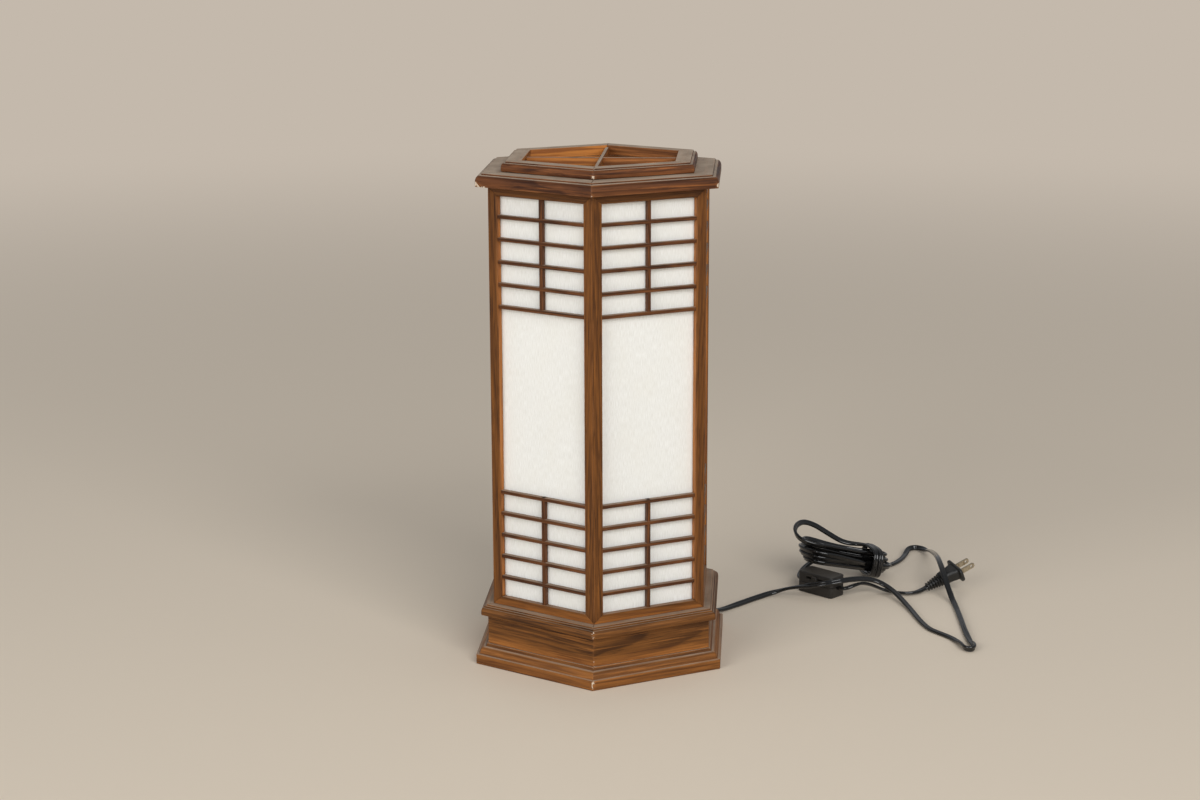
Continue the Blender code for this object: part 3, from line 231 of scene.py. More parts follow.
def eased(corners, radius):
    """A closed section with its arrises eased: points marked 1 on an arris, for rubbing and chips, and -1 in a
    hollow corner, for painted shade.
    """
    spots = [Vector(corner) for corner in corners]
    area = sum(spots[i - 1].cross(spots[i]) for i in range(len(spots)))
    section = []
    for i, here in enumerate(spots):
        back, ahead = spots[i - 1] - here, spots[(i + 1) % len(spots)] - here
        if math.pi - back.angle(ahead) < math.radians(30):
            section.append((here.x, here.y, 0.0))
            continue
        reach = min(radius, 0.4 * back.length, 0.4 * ahead.length)
        worn_and_shaded = 1.0 if ahead.cross(back) * area > 0 else -1.0
        shoulder = here + back.normalized() * min(3 * reach, 0.49 * back.length)
        section.append((shoulder.x, shoulder.y, 0.0))
        first, last = here + back.normalized() * reach, here + ahead.normalized() * reach
        for share in (0, 0.33, 0.67, 1):
            spot = first.lerp(here, share).lerp(here.lerp(last, share), share)
            section.append((spot.x, spot.y, worn_and_shaded))
        shoulder = here + ahead.normalized() * min(3 * reach, 0.49 * ahead.length)
        section.append((shoulder.x, shoulder.y, 0.0))
    return section


def tube_faces(count, rings, start=0):
    """Faces of a closed solid through rings of equal count, whose points begin at start."""
    faces = []
    for low in range(start, start + (rings - 1) * count, count):
        for i in range(count):
            j = (i + 1) % count
            faces.append((low + i, low + j, low + count + j, low + count + i))
    faces.append(tuple(range(start + count - 1, start - 1, -1)))
    faces.append(tuple(range(start + (rings - 1) * count, start + rings * count)))
    return faces


def new_stock():
    return {"points": [], "faces": [], "grain": [], "wear_and_shade": [], "lightened": []}


def add_length(stock, section, ends, place, pith, parts=6, lightened=lambda p, q: 0.0):
    """Adds one length of wood.

    ends(p, q) is where it stops, place(t, p, q) where it sits, pith its heart line, and the function given last
    how far
    it turns to a paler tone: where it took little stain, and where reflected light is painted on."""
    flat = np.array([(p, q) for p, q, worn_and_shaded in section])
    tangent = np.roll(flat, -1, axis=0) - np.roll(flat, 1, axis=0)
    turning = np.cross(np.roll(flat, 1, axis=0), flat).sum()
    outward = np.column_stack([tangent[:, 1], -tangent[:, 0]]) * np.sign(turning)
    outward /= np.linalg.norm(outward, axis=1)[:, None]
    stops = [(0.0, inset - END_STRETCH, groove, worn_and_shaded) for inset, groove, worn_and_shaded in END_EASING]
    stops += [(step / parts, 0.0, 0.0, 0.0) for step in range(parts + 1)]
    stops += [(1.0, END_STRETCH - inset, groove, worn_and_shaded) for inset, groove, worn_and_shaded in reversed(END_EASING)]
    start = len(stock["points"])
    for share, extra, groove, end_worn in stops:
        for (p, q, worn_and_shaded), out in zip(section, outward):
            low, high = ends(p, q)
            t = low + END_STRETCH + (high - low - 2 * END_STRETCH) * share + extra
            p, q = p - out[0] * groove, q - out[1] * groove
            stock["points"].append(tuple(place(t, p, q)))
            stock["grain"].append((t + pith[0], p - pith[1], q - pith[2]))
            stock["wear_and_shade"].append(worn_and_shaded + 0.5 * end_worn if worn_and_shaded >= 0 else worn_and_shaded)
            stock["lightened"].append(lightened(p, q))
    stock["faces"] += tube_faces(len(section), len(stops), start)


def closed_mesh(name, points, faces):
    """A mesh whose faces all point outwards."""
    mesh = bpy.data.meshes.new(name)
    mesh.from_pydata(points, [], faces)
    shape = bmesh.new()
    shape.from_mesh(mesh)
    bmesh.ops.recalc_face_normals(shape, faces=shape.faces)
    shape.to_mesh(mesh)
    shape.free()
    return mesh


def finished(name, points, faces, material, body, slot, nodes=(), sharp=40, attributes=None):
    """Makes a closed mesh a finished piece of the lamp."""
    mesh = closed_mesh(name, points, faces)
    for attribute, values in (attributes or {}).items():
        kind = "FLOAT" if np.ndim(values) == 1 else "FLOAT_VECTOR"
        layer = mesh.attributes.new(attribute, kind, "POINT")
        layer.data.foreach_set("value" if kind == "FLOAT" else "vector", np.ravel(values).astype(np.float32))
    mesh.materials.append(material)
    mesh.shade_smooth()
    mesh.set_sharp_from_angle(angle=math.radians(sharp))
    return mounted(name, mesh, body, nodes)


def mounted(name, mesh, body, nodes=()):
    """Puts a finished mesh in the scene, on its body and in place of its CAD nodes."""
    piece = bpy.data.objects.new(name, mesh)
    bpy.context.scene.collection.objects.link(piece)
    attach(piece, body)
    if nodes:
        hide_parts(*nodes)
    return piece


def wooden(name, stock, material, body, nodes):
    kept = {key: stock[key] for key in ("grain", "wear_and_shade", "lightened")}
    points, faces = stock["points"], stock["faces"]
    finished(name, points, faces, material, body, "stained_wood", nodes, attributes=kept)


def knocked(stock, *spots):
    """Breaks the stain away round corners that have been knocked, each as a place and a reach."""
    for *place, reach in spots:
        for i, point in enumerate(stock["points"]):
            if (Vector(point) - Vector(place)).length < reach:
                stock["wear_and_shade"][i] = KNOCKED_BARE


def mitred_ring(section, seed, heart, raised=None, lightened=lambda side, a, z: 0.0):
    """Six lengths of one section of (distance from the axis, height), mitred at the hexagon's corners.

    The one at the back right may be raised from below, as a height for each place along it."""
    dice = random.Random(seed)
    stock = new_stock()
    for side in range(6):
        turn = side_turn(side)
        along, inward, rise = dice.uniform(-0.5, 0.5), dice.uniform(0.0, 0.03), dice.uniform(-0.02, 0.02)
        lifted = raised if side == BACK_RIGHT else None
        add_length(
            stock, section,
            lambda a, z: (MITRE_SEAM - a * MITRE, a * MITRE - MITRE_SEAM),
            lambda t, a, z: turn @ Vector((t, -a, max(z, lifted(t)) if lifted else z)),
            (along, heart[0] - inward, heart[1] + rise), 120 if lifted else 6,
            lambda a, z: lightened(side, a, z),
        )
    return stock


def cord_arch(along):
    """Height of the arch that the cord's bushing stands in."""
    across = along - ARCH_OFFSET
    return ARCH_HEIGHT + math.sqrt(ARCH_RADIUS ** 2 - across ** 2) if abs(across) < ARCH_RADIUS else -1.0


base_wood = stained_wood(
    "base_wood", srgb(50, 27, 11), srgb(109, 68, 29), srgb(150, 96, 46), spacing=0.0048, dust=0.62
)
ledge, shoulder = FOOT_APOTHEM - FOOT_STEP, PLINTH_APOTHEM + 2 * FOOT_STEP
ogee_top = FOOT_HEIGHT - 2 * FOOT_STEP
run, drop = ledge - shoulder, ogee_top - FOOT_FACE
corners = [(PLINTH_INNER, FOOT_HEIGHT), (PLINTH_APOTHEM + FOOT_STEP, FOOT_HEIGHT)]
corners += [(PLINTH_APOTHEM + FOOT_STEP, FOOT_HEIGHT - FOOT_STEP)]
corners += arc((shoulder, ogee_top - drop * 0.7), (run * 0.7, drop * 0.7), 90, 0, 8)
corners += arc((ledge, ogee_top - drop * 0.7), (run * 0.3, drop * 0.3), 180, 270, 6)[1:]
corners += [(FOOT_APOTHEM, FOOT_FACE), (FOOT_APOTHEM, 0.0), (PLINTH_INNER, 0.0)]
# The foot's bottom edge is marked for painted shade: a dark line where it meets the floor.
section = [(a, z, -1.0 if z < 0.0006 else worn_and_shaded) for a, z, worn_and_shaded in eased(corners, 0.00045)]
stock = mitred_ring(section, 113, (FOOT_APOTHEM, 0.006), cord_arch, lambda side, a, z: 0.2)
front = -FOOT_APOTHEM * CORNER
knocked(
    stock, (0.0, front, FOOT_FACE, 0.0019), (0.0, front, 0.0026, 0.0016), (-0.0016, front, FOOT_FACE, 0.0019)
)
wooden("foot_lengths", stock, base_wood, "lamp", ["foot_moulding"])

# Plinth: six flat boards of the same softwood, mitred and standing on the foot moulding.
# Their faces are flat sawn, so the grain runs level and in long arches.
PLINTH_BOTTOM, PLINTH_TOP, BOUNCE_LIGHT_RISE = 0.0203, 0.0503, 0.0105
levels = (PLINTH_TOP, PLINTH_TOP - 0.002, PLINTH_BOTTOM + 0.011, PLINTH_BOTTOM + 0.005, PLINTH_BOTTOM)
corners = [(PLINTH_INNER, PLINTH_TOP)] + [(PLINTH_APOTHEM, level) for level in levels]
corners += [(PLINTH_INNER, PLINTH_BOTTOM)]
# The boards' top edge is marked for painted shade: the shadow line under the base board's moulding.
section = [(a, z, -1.0 if z > PLINTH_TOP - 0.0013 else worn_and_shaded) for a, z, worn_and_shaded in eased(corners, 0.0004)]
# The boards turn paler towards their bottom: painted light reflected up from the foot moulding.
stock = mitred_ring(
    section, 231, (PLINTH_APOTHEM - 0.004, 0.035),
    lightened=lambda side, a, z: 0.4 * max(0.0, 1 - (z - PLINTH_BOTTOM) / BOUNCE_LIGHT_RISE),
)
front = -PLINTH_APOTHEM * CORNER
knocked(stock, (0.0, front, 0.0263, 0.0011), (0.0, front, 0.0331, 0.0013), (0.0, front, 0.0452, 0.0012))
wooden("plinth_boards", stock, base_wood, "lamp", ["plinth"])

# Base board: the board that closes the base, with a stepped and rounded moulding run along its six edges.
# It carries the lampholder inside and the framed sides on top.
BASE_BOTTOM, BASE_TOP, BASE_STEP, BASE_ROUND = 0.0506, 0.0616, 0.0014, 0.0026
NIPPLE_HOLE, BASE_FLAT = 0.0125, 0.1135
belly_top = BASE_TOP - 2 * BASE_STEP
widest = BASE_FLAT + 2 * BASE_STEP + BASE_ROUND
belly = (belly_top - BASE_BOTTOM) * 0.68
corners = [(NIPPLE_HOLE, BASE_TOP), (BASE_FLAT, BASE_TOP), (BASE_FLAT, BASE_TOP - BASE_STEP)]
corners += [(BASE_FLAT + BASE_STEP, BASE_TOP - BASE_STEP), (BASE_FLAT + 2 * BASE_STEP, belly_top)]
corners += arc((widest - BASE_ROUND, belly_top - belly), (BASE_ROUND, belly), 90, 0, 8)[1:]
corners += arc((widest - BASE_STEP, BASE_BOTTOM + BASE_STEP), (BASE_STEP, BASE_STEP), 0, -90, 5)
corners += [(NIPPLE_HOLE, BASE_BOTTOM)]
stock = mitred_ring(eased(corners, 0.0004), 374, (widest, 0.056))
front = -(widest - BASE_ROUND * 0.3) * CORNER
knocked(stock, (0.0, front, 0.0575, 0.0018), (0.0, front, 0.0535, 0.0018))
wooden("base_board_lengths", stock, base_wood, "lamp", ["base_board"])

# Framed sides: each has two stiles and two rails of softwood, mitred at the corners and rabbeted behind for the
# paper. Neighbouring stiles are bevelled and glued along the hexagon's corners, where a fine seam shows.
BODY_APOTHEM, SHADE_BOTTOM, SHADE_TOP = 0.1065, 0.0619, 0.4874
STILE, RAIL, FRAME_DEPTH, RABBET, LAP = 0.0102, 0.0086, 0.011, 0.0065, 0.003
HALF_SIDE, FRAME_SEAM, FACE_DEPTH = BODY_APOTHEM * MITRE, 0.00008, 0.0008
frame_wood = stained_wood(
    "frame_wood", srgb(54, 28, 10), srgb(110, 67, 28), srgb(140, 87, 37), spacing=0.0036, wander=0.004,
    chips=-0.08, dust=0.35, figure=0.5,
)


def cad_nodes(words):
    return [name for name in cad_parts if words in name]


def stile_ends(w, d):
    return SHADE_BOTTOM + w * RAIL / STILE + FRAME_SEAM, SHADE_TOP - w * RAIL / STILE - FRAME_SEAM


dice = random.Random(511)
stock = new_stock()
stile_corners = [(0.0001, 0.0), (STILE, 0.0), (STILE, RABBET), (STILE - LAP, RABBET)]
stile_corners += [(STILE - LAP, FRAME_DEPTH), (FRAME_DEPTH * MITRE + 0.0001, FRAME_DEPTH)]
stile_section = eased(stile_corners, 0.00042)
for side in range(6):
    turn = side_turn(side)
    for end in (-1, 1):
        pith = (dice.uniform(-0.5, 0.5), dice.uniform(-0.03, 0.03), dice.uniform(0.01, 0.05))
        # Their inner sides turn paler: painted light reflected off the paper.
        add_length(
            stock, stile_section, stile_ends,
            lambda t, w, d: turn @ Vector((end * (HALF_SIDE - w), d - BODY_APOTHEM, t)), pith, 14,
            lambda w, d: 0.55 * (w > STILE - 0.0002 and d > FACE_DEPTH),
        )
wooden("stiles", stock, frame_wood, "lamp", cad_nodes("post_"))
stock = new_stock()
rail_corners = [(0.0, 0.0), (0.0, RAIL), (RABBET, RAIL), (RABBET, RAIL - LAP), (FRAME_DEPTH, RAIL - LAP)]
rail_corners += [(FRAME_DEPTH, 0.0)]
rail_section = eased(rail_corners, 0.0004)
# The top rails are marked for painted shade all over: the shadow under the roof's overhang.
roof_shadow_section = [(d, h, min(worn_and_shaded, 0.0) - 0.7) for d, h, worn_and_shaded in rail_section]


def rail_end(d, h):
    return HALF_SIDE - max(h * STILE / RAIL, d * MITRE) - FRAME_SEAM


for side in range(6):
    turn = side_turn(side)
    for start, rise, section in ((SHADE_BOTTOM, 1, rail_section), (SHADE_TOP, -1, roof_shadow_section)):
        pith = (dice.uniform(-0.5, 0.5), dice.uniform(-0.01, 0.03), dice.uniform(-0.02, 0.03))
        # The bottom rails' faces turn paler towards their lower edge.
        add_length(
            stock, section, lambda d, h: (-rail_end(d, h), rail_end(d, h)),
            lambda t, d, h: turn @ Vector((t, d - BODY_APOTHEM, start + rise * h)), pith, 6,
            lambda d, h: 0.45 * max(0.0, 1 - h / 0.0065) * (rise > 0 and d < FACE_DEPTH),
        )
wooden("rails", stock, frame_wood, "lamp", cad_nodes("_rail_"))

# Lattices: five thin bars half lapped over one upright bar, at the top and at the bottom of each side.
# They are of a redder, darker wood and stand a little behind the frame's face.
CELL, ROWS, PLAY = 0.0188, 5, 0.0001
BAR, BAR_DEPTH, UPRIGHT, UPRIGHT_DEPTH = 0.0035, 0.0056, 0.0036, 0.0053
lattice_wood = stained_wood(
    "lattice_wood", srgb(52, 27, 13), srgb(96, 57, 29), srgb(124, 76, 40), spacing=0.003, wander=0.003,
    chips=-0.12,
)


def new_form(name, sizes, counts):
    """An empty geometry tree with named sizes and counts, and the identifiers that set them."""
    tree = bpy.data.node_groups.new(name, "GeometryNodeTree")
    sockets = {}
    for names, kind in ((sizes, "NodeSocketFloat"), (counts, "NodeSocketInt")):
        for socket in names:
            sockets[socket] = tree.interface.new_socket(socket, in_out="INPUT", socket_type=kind).identifier
    tree.interface.new_socket("Geometry", in_out="OUTPUT", socket_type="NodeSocketGeometry")
    return tree, sockets, tree.nodes.new("NodeGroupInput").outputs


def formed(tree, kind, inputs=(), **settings):
    return node(tree, "GeometryNode" + kind, inputs, **settings).outputs[0]


def joined(tree, *parts):
    join = tree.nodes.new("GeometryNodeJoinGeometry")
    for part in parts:
        tree.links.new(part, join.inputs[0])
    return join.outputs[0]


def vector(tree, x=0.0, y=0.0, z=0.0):
    return node(tree, "ShaderNodeCombineXYZ", {0: x, 1: y, 2: z}).outputs[0]


def stored(tree, geometry, name, value, domain="POINT"):
    settings = {"Geometry": geometry, "Name": name, "Value": value}
    return formed(tree, "StoreNamedAttribute", settings, data_type="FLOAT_VECTOR", domain=domain)


def ended(tree, geometry, material):
    """Ends a geometry tree with the material of what it makes."""
    geometry = formed(tree, "SetMaterial", {"Geometry": geometry, "Material": material})
    tree.links.new(geometry, tree.nodes.new("NodeGroupOutput").inputs["Geometry"])


tree, lattice_sockets, given = new_form(
    "lattice_bars",
    ("Bar Length", "Bar Width", "Bar Depth", "Upright Width", "Upright Depth", "First Row", "Row Pitch",
     "Upright Start", "Upright Length", "Back Plane", "Ease"),
    ("Rows", "Seed"),
)
lattice_tree = tree


def lattice_bar(length, width, depth):
    """One bar along X with eased arrises, keeping its own place as its grain."""
    half = maths(tree, "MULTIPLY", length, 0.5)
    ends = {"Start": vector(tree, maths(tree, "MULTIPLY", half, -1.0)), "End": vector(tree, half)}
    line = formed(tree, "CurvePrimitiveLine", ends)
    line = formed(tree, "ResampleCurve", {"Curve": line, "Count": 7})
    section = formed(tree, "CurvePrimitiveQuadrilateral", {"Width": depth, "Height": width})
    easing = {"Curve": section, "Radius": given["Ease"], "Count": 2}
    section = formed(tree, "FilletCurve", easing, mode="POLY")
    bar = formed(tree, "CurveToMesh", {"Curve": line, "Profile Curve": section, "Fill Caps": True})
    return stored(tree, bar, "grain", formed(tree, "InputPosition"))


def chance(seed, width):
    """A random shift of the grain for each instance."""
    index = formed(tree, "InputIndex")
    settings = {0: (-0.5, -width, -width), 1: (0.5, width, width), "ID": index, "Seed": seed}
    return node(tree, "FunctionNodeRandomValue", settings, data_type="FLOAT_VECTOR").outputs[0]


flat_bar = lattice_bar(given["Bar Length"], given["Bar Width"], given["Bar Depth"])
bar_plane = maths(tree, "MULTIPLY_ADD", given["Bar Depth"], -0.5, given["Back Plane"])
rows = {
    "Count": given["Rows"], "Start Location": vector(tree, 0.0, bar_plane, given["First Row"]),
    "Offset": vector(tree, 0.0, 0.0, given["Row Pitch"]),
}
rows = formed(tree, "MeshLine", rows)
rows = formed(tree, "InstanceOnPoints", {"Points": rows, "Instance": flat_bar})
rows = stored(tree, rows, "bar_shift", chance(given["Seed"], 0.03), "INSTANCE")
upright = lattice_bar(given["Upright Length"], given["Upright Width"], given["Upright Depth"])
upright_plane = maths(tree, "MULTIPLY_ADD", given["Upright Depth"], -0.5, given["Back Plane"])
upright_middle = maths(tree, "MULTIPLY_ADD", given["Upright Length"], 0.5, given["Upright Start"])
upright = formed(tree, "Transform", {
    "Geometry": upright, "Rotation": (0.0, -math.pi / 2, 0.0),
    "Translation": vector(tree, 0.0, upright_plane, upright_middle),
})
one_side = formed(tree, "GeometryToInstance", {0: joined(tree, rows, upright)})
six = formed(tree, "MeshLine", {"Count": 6, "Offset": (0.0, 0.0, 0.0)})
spin = maths(tree, "MULTIPLY_ADD", formed(tree, "InputIndex"), math.radians(60), math.radians(30))
six = {"Points": six, "Instance": one_side, "Rotation": vector(tree, 0.0, 0.0, spin)}
six = formed(tree, "InstanceOnPoints", six)
side_seed = maths(tree, "ADD", given["Seed"], 7.0)
six = stored(tree, six, "side_shift", chance(side_seed, 0.02), "INSTANCE")
six = formed(tree, "RealizeInstances", {"Geometry": six})
kept = [
    formed(tree, "InputNamedAttribute", {"Name": name}, data_type="FLOAT_VECTOR")
    for name in ("grain", "bar_shift", "side_shift")
]
for shift in kept[1:]:
    kept[0] = node(tree, "ShaderNodeVectorMath", {0: kept[0], 1: shift}).outputs[0]
six = stored(tree, six, "grain", kept[0])
six = formed(tree, "SetShadeSmooth", {"Geometry": six, "Shade Smooth": False})
ended(tree, six, lattice_wood)


def grown(name, tree, sockets, values):
    """The plain mesh that a geometry tree makes with these values."""
    carrier = bpy.data.objects.new(name, bpy.data.meshes.new(name))
    bpy.context.scene.collection.objects.link(carrier)
    modifier = carrier.modifiers.new(name, "NODES")
    modifier.node_group = tree
    for socket, value in values.items():
        modifier[sockets[socket]] = value
    seen = carrier.evaluated_get(bpy.context.evaluated_depsgraph_get())
    mesh = bpy.data.meshes.new_from_object(seen)
    bpy.data.objects.remove(carrier, do_unlink=True)
    return mesh


lattice_length = ROWS * (CELL + BAR) - PLAY
for name, first, start, seed in (
    ("lower", SHADE_BOTTOM + RAIL + CELL + BAR / 2, SHADE_BOTTOM + RAIL + PLAY, 3),
    ("upper", SHADE_TOP - RAIL - ROWS * (CELL + BAR) + BAR / 2, SHADE_TOP - RAIL - lattice_length - PLAY, 4),
):
    values = {
        "Bar Length": 2 * (HALF_SIDE - STILE) - 2 * PLAY, "Bar Width": BAR, "Bar Depth": BAR_DEPTH,
        "Upright Width": UPRIGHT, "Upright Depth": UPRIGHT_DEPTH, "Rows": ROWS, "First Row": first,
        "Row Pitch": CELL + BAR, "Upright Start": start, "Upright Length": lattice_length,
        "Back Plane": RABBET - BODY_APOTHEM, "Ease": 0.0004, "Seed": seed,
    }
    mesh = grown(name + "_lattices", lattice_tree, lattice_sockets, values)
    mounted(name + "_lattices", mesh, "lamp", cad_nodes(name + "_lattice_"))

# Papers: six sheets of off-white fibre paper, one behind each framed side, glued into the rabbets all round.
# Long fibres lie mostly upright in the sheet, and damp has left it very slightly uneven.
PAPER_WIDTH, PAPER_HEIGHT, PAPER_BOTTOM = 0.108, 0.4137, SHADE_BOTTOM + 0.0059
PAPER_FACE, PAPER_THICKNESS, COCKLE = 0.0071, 0.0004, 0.00022
COLUMNS, STOREYS = 15, 45
SIDE_NAMES = ("front_right", "right", "back_right", "back_left", "left", "front_left")
fibre_paper, tree = new_material("fibre_paper")
place = mesh_value(tree, "sheet", "Vector")
long_fibre = noise(tree, place, (1500, 130, 40), 4.0, 0.65)
short_fibre = noise(tree, place, (420, 260, 40), 4.0, 0.65)
cloud = noise(tree, place, (28, 16, 9), 2.0)
colour = mixed(tree, eased_range(tree, long_fibre, 0.32, 0.7), srgb(226, 226, 221), srgb(241, 242, 239))
colour = mixed(tree, eased_range(tree, short_fibre, 0.62, 0.8, 0.0, 0.5), colour, srgb(214, 211, 201))
colour = mixed(tree, eased_range(tree, cloud, 0.35, 0.75, 0.0, 0.35), colour, srgb(230, 229, 221))
sheen = eased_range(tree, long_fibre, 0.3, 0.7, 0.78, 0.92)
coated(tree, colour, sheen, maths(tree, "MULTIPLY_ADD", short_fibre, 0.6, long_fibre), 0.3, 0.0002)
for side, side_name in enumerate(SIDE_NAMES):
    turn = side_turn(side)
    points, sheet = [], []
    for row in range(STOREYS):
        v = row / (STOREYS - 1)
        z = PAPER_BOTTOM + v * PAPER_HEIGHT
        there_and_back = [(column, 0) for column in range(COLUMNS)]
        there_and_back += [(column, 1) for column in reversed(range(COLUMNS))]
        for column, layer in there_and_back:
            u = column / (COLUMNS - 1) - 0.5
            edge = min(0.5 - abs(u), v, 1 - v)
            cockle = COCKLE * min(edge * 6, 1) * math.sin(9 * u + side + 4 * v) * math.sin(17 * v + 2 * side)
            y = PAPER_FACE + PAPER_THICKNESS * layer + cockle - BODY_APOTHEM
            points.append(tuple(turn @ Vector((u * PAPER_WIDTH, y, z))))
            sheet.append((u * PAPER_WIDTH, z, side * 0.31))
    faces = tube_faces(2 * COLUMNS, STOREYS)
    paper = finished(
        "paper_sheet_" + side_name, points, faces, fibre_paper, "lamp", "fibre_paper", ["paper_" + side_name],
        attributes={"sheet": sheet},
    )

# Roof board: six boards mitred into a flat hexagonal frame round the opening, with a rounded edge that
# overhangs the sides and a lip underneath that drops inside them. It lifts off to reach the bulb.
ROOF_BOTTOM, ROOF_TOP, ROOF_STEP, OPENING = 0.4877, 0.5003, 0.0014, 0.0752
ROOF_EDGE, ROOF_FLAT = 0.1182, 0.1122
LIP_CLEARANCE, LIP_DROP, LIP_THICKNESS = 0.001, 0.006, 0.0045
roof_wood = stained_wood(
    "roof_wood", srgb(42, 20, 11), srgb(97, 57, 31), srgb(142, 87, 45), spacing=0.0044, dust=1.0
)


def stepped_edge(bottom, top, flat, edge, share):
    """Upper part of a section: a flat top, a small step and a rounded edge over a share of its height."""
    shoulder = top - ROOF_STEP
    belly = (shoulder - bottom) * share
    corners = [(OPENING, top), (flat, top), (flat, shoulder), (flat + ROOF_STEP, shoulder)]
    rounded = arc((flat + ROOF_STEP, shoulder - belly), (edge - flat - ROOF_STEP, belly), 90, 0, 8)
    return corners + rounded[1:]


def sawn_inside(side, a, z):
    """The faces round the opening, left as they came from the saw, took little stain, the one at the back right
    the most.
    """
    return {1: 0.25, 2: 0.12, 3: 0.95}.get(side, 0.6) * (a < OPENING + 0.0006)


lip_outer, lip_bottom = BODY_APOTHEM - FRAME_DEPTH - LIP_CLEARANCE, ROOF_BOTTOM - LIP_DROP
lip_inner = lip_outer - LIP_THICKNESS
corners = stepped_edge(ROOF_BOTTOM, ROOF_TOP, ROOF_FLAT, ROOF_EDGE, 0.55)
corners += [(ROOF_EDGE, ROOF_BOTTOM), (lip_outer, ROOF_BOTTOM), (lip_outer, lip_bottom)]
corners += [(lip_inner, lip_bottom), (lip_inner, ROOF_BOTTOM), (OPENING, ROOF_BOTTOM)]
stock = mitred_ring(eased(corners, 0.00045), 614, (ROOF_EDGE, 0.494), lightened=sawn_inside)
knocked(
    stock, (0.0, -ROOF_EDGE * CORNER, ROOF_BOTTOM + 0.002, 0.0026),
    (-ROOF_EDGE, -ROOF_EDGE * MITRE, ROOF_BOTTOM + 0.001, 0.005),
    (ROOF_EDGE, -ROOF_EDGE * MITRE, ROOF_BOTTOM + 0.003, 0.003),
)
wooden("roof_lengths", stock, roof_wood, "roof", ["roof_board"])

# Ring on the roof: six lengths of stained moulding with a stepped and rounded edge.
# They are mitred and glued on the roof board round the opening.
RING_BOTTOM, RING_TOP, RING_FLAT, RING_EDGE = 0.5006, 0.5106, 0.0901, 0.0944
corners = stepped_edge(RING_BOTTOM, RING_TOP, RING_FLAT, RING_EDGE, 0.6)
corners += arc((RING_EDGE - ROOF_STEP, RING_BOTTOM + ROOF_STEP), (ROOF_STEP, ROOF_STEP), 0, -90, 4)
corners += [(OPENING, RING_BOTTOM)]
stock = mitred_ring(eased(corners, 0.0004), 735, (RING_EDGE, 0.506), lightened=sawn_inside)
ring_wood = stained_wood(
    "ring_wood", srgb(46, 22, 12), srgb(112, 67, 37), srgb(172, 108, 60), spacing=0.0044, dust=1.0
)
knocked(stock, (0.0, -RING_EDGE * CORNER, RING_BOTTOM + 0.002, 0.0022))
wooden("ring_lengths", stock, ring_wood, "roof", ["top_ring"])

# Vent slats: two thin strips of the ring's wood, set on edge, that cross in the opening.
# They are halved over each other and glued into the ring, and their sides took little stain.
SLAT_THICKNESS, SLAT_BOTTOM, SLAT_TOP = 0.0034, 0.5006, 0.5086
half = SLAT_THICKNESS / 2
slat_section = eased([(-half, SLAT_BOTTOM), (half, SLAT_BOTTOM), (half, SLAT_TOP), (-half, SLAT_TOP)], 0.0004)
long_reach = OPENING * CORNER - half * MITRE - 0.0004
stock = new_stock()


def slat_bare(p, q, pale=0.5):
    return pale * (q < SLAT_TOP - 0.0006)


add_length(
    stock, slat_section, lambda p, q: (-long_reach, long_reach), lambda t, p, q: (p, t, q), (0.31, 0.02, 0.49),
    8, slat_bare,
)
for turn in (-1, 1):
    add_length(
        stock, slat_section, lambda p, q: (half + 0.0001, OPENING - 0.0003),
        lambda t, p, q: (turn * t, turn * p, q), (0.17 * turn, 0.03, 0.50), 6,
        lambda p, q: slat_bare(p, q, 0.4 - 0.25 * turn),
    )
wooden("vent_slats", stock, ring_wood, "roof", ["vent_slat_long", "vent_slat_cross"])

# Lampholder and bulb: a phenolic screw holder on a brass nipple through the base board, and an opal bulb.
# They are bought-in parts and show only through the vent or when the roof is lifted off.


def object_place(tree):
    return node(tree, "ShaderNodeTexCoord").outputs["Object"]


def moulded(name, colour, scuffed, rough, speckle=2600.0, dust=0.15):
    """Moulded plastic or glass with a fine surface, faint scuffs and a little dust."""
    material, tree = new_material(name)
    place = object_place(tree)
    fine = noise(tree, place, (speckle, speckle, speckle), 2.0)
    scuff = noise(tree, place, (150, 150, 420), 4.0, 0.65)
    dusty = placed(tree, settled_dust, {"Place": place, "Amount": dust})
    tone = mixed(tree, eased_range(tree, scuff, 0.5, 0.78, 0.0, 0.5), colour, scuffed)
    tone = mixed(tree, dusty["Dust"], tone, srgb(150, 138, 122))
    sheen = eased_range(tree, scuff, 0.35, 0.75, *rough)
    coated(tree, tone, sheen, fine, 0.2, 0.0001)
    return material


def plated(name, bright, dull, rough):
    """Metal with drawn lines and patches of tarnish."""
    material, tree = new_material(name, {"Metallic": 1.0})
    place = object_place(tree)
    tarnish = noise(tree, place, (240, 240, 240), 4.0, 0.6)
    drawn = noise(tree, place, (700, 700, 5200), 2.0)
    tone = mixed(tree, eased_range(tree, tarnish, 0.4, 0.72), bright, dull)
    coated(tree, tone, eased_range(tree, tarnish, 0.3, 0.75, *rough), drawn, 0.12, 0.0001)
    return material


def refinish(material, *names):
    """Gives CAD nodes that stay their finished material."""
    for name in names:
        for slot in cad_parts[name].material_slots:
            slot.material = material


aged_brass = plated("aged_brass", srgb(196, 160, 92), srgb(128, 96, 52), (0.28, 0.5))
holder_phenolic = moulded("holder_phenolic", srgb(38, 30, 26), srgb(66, 54, 46), (0.3, 0.5), 900.0, 0.4)
cap_aluminium = plated("cap_aluminium", srgb(196, 196, 194), srgb(150, 150, 148), (0.25, 0.45))
opal_glass = moulded("opal_glass", srgb(238, 236, 230), srgb(226, 222, 212), (0.16, 0.26), 160.0, 0.35)
refinish(aged_brass, "lampholder_nipple", "bulb_contact")
refinish(holder_phenolic, "lampholder")
refinish(cap_aluminium, "bulb_cap")
refinish(opal_glass, "bulb_glass")

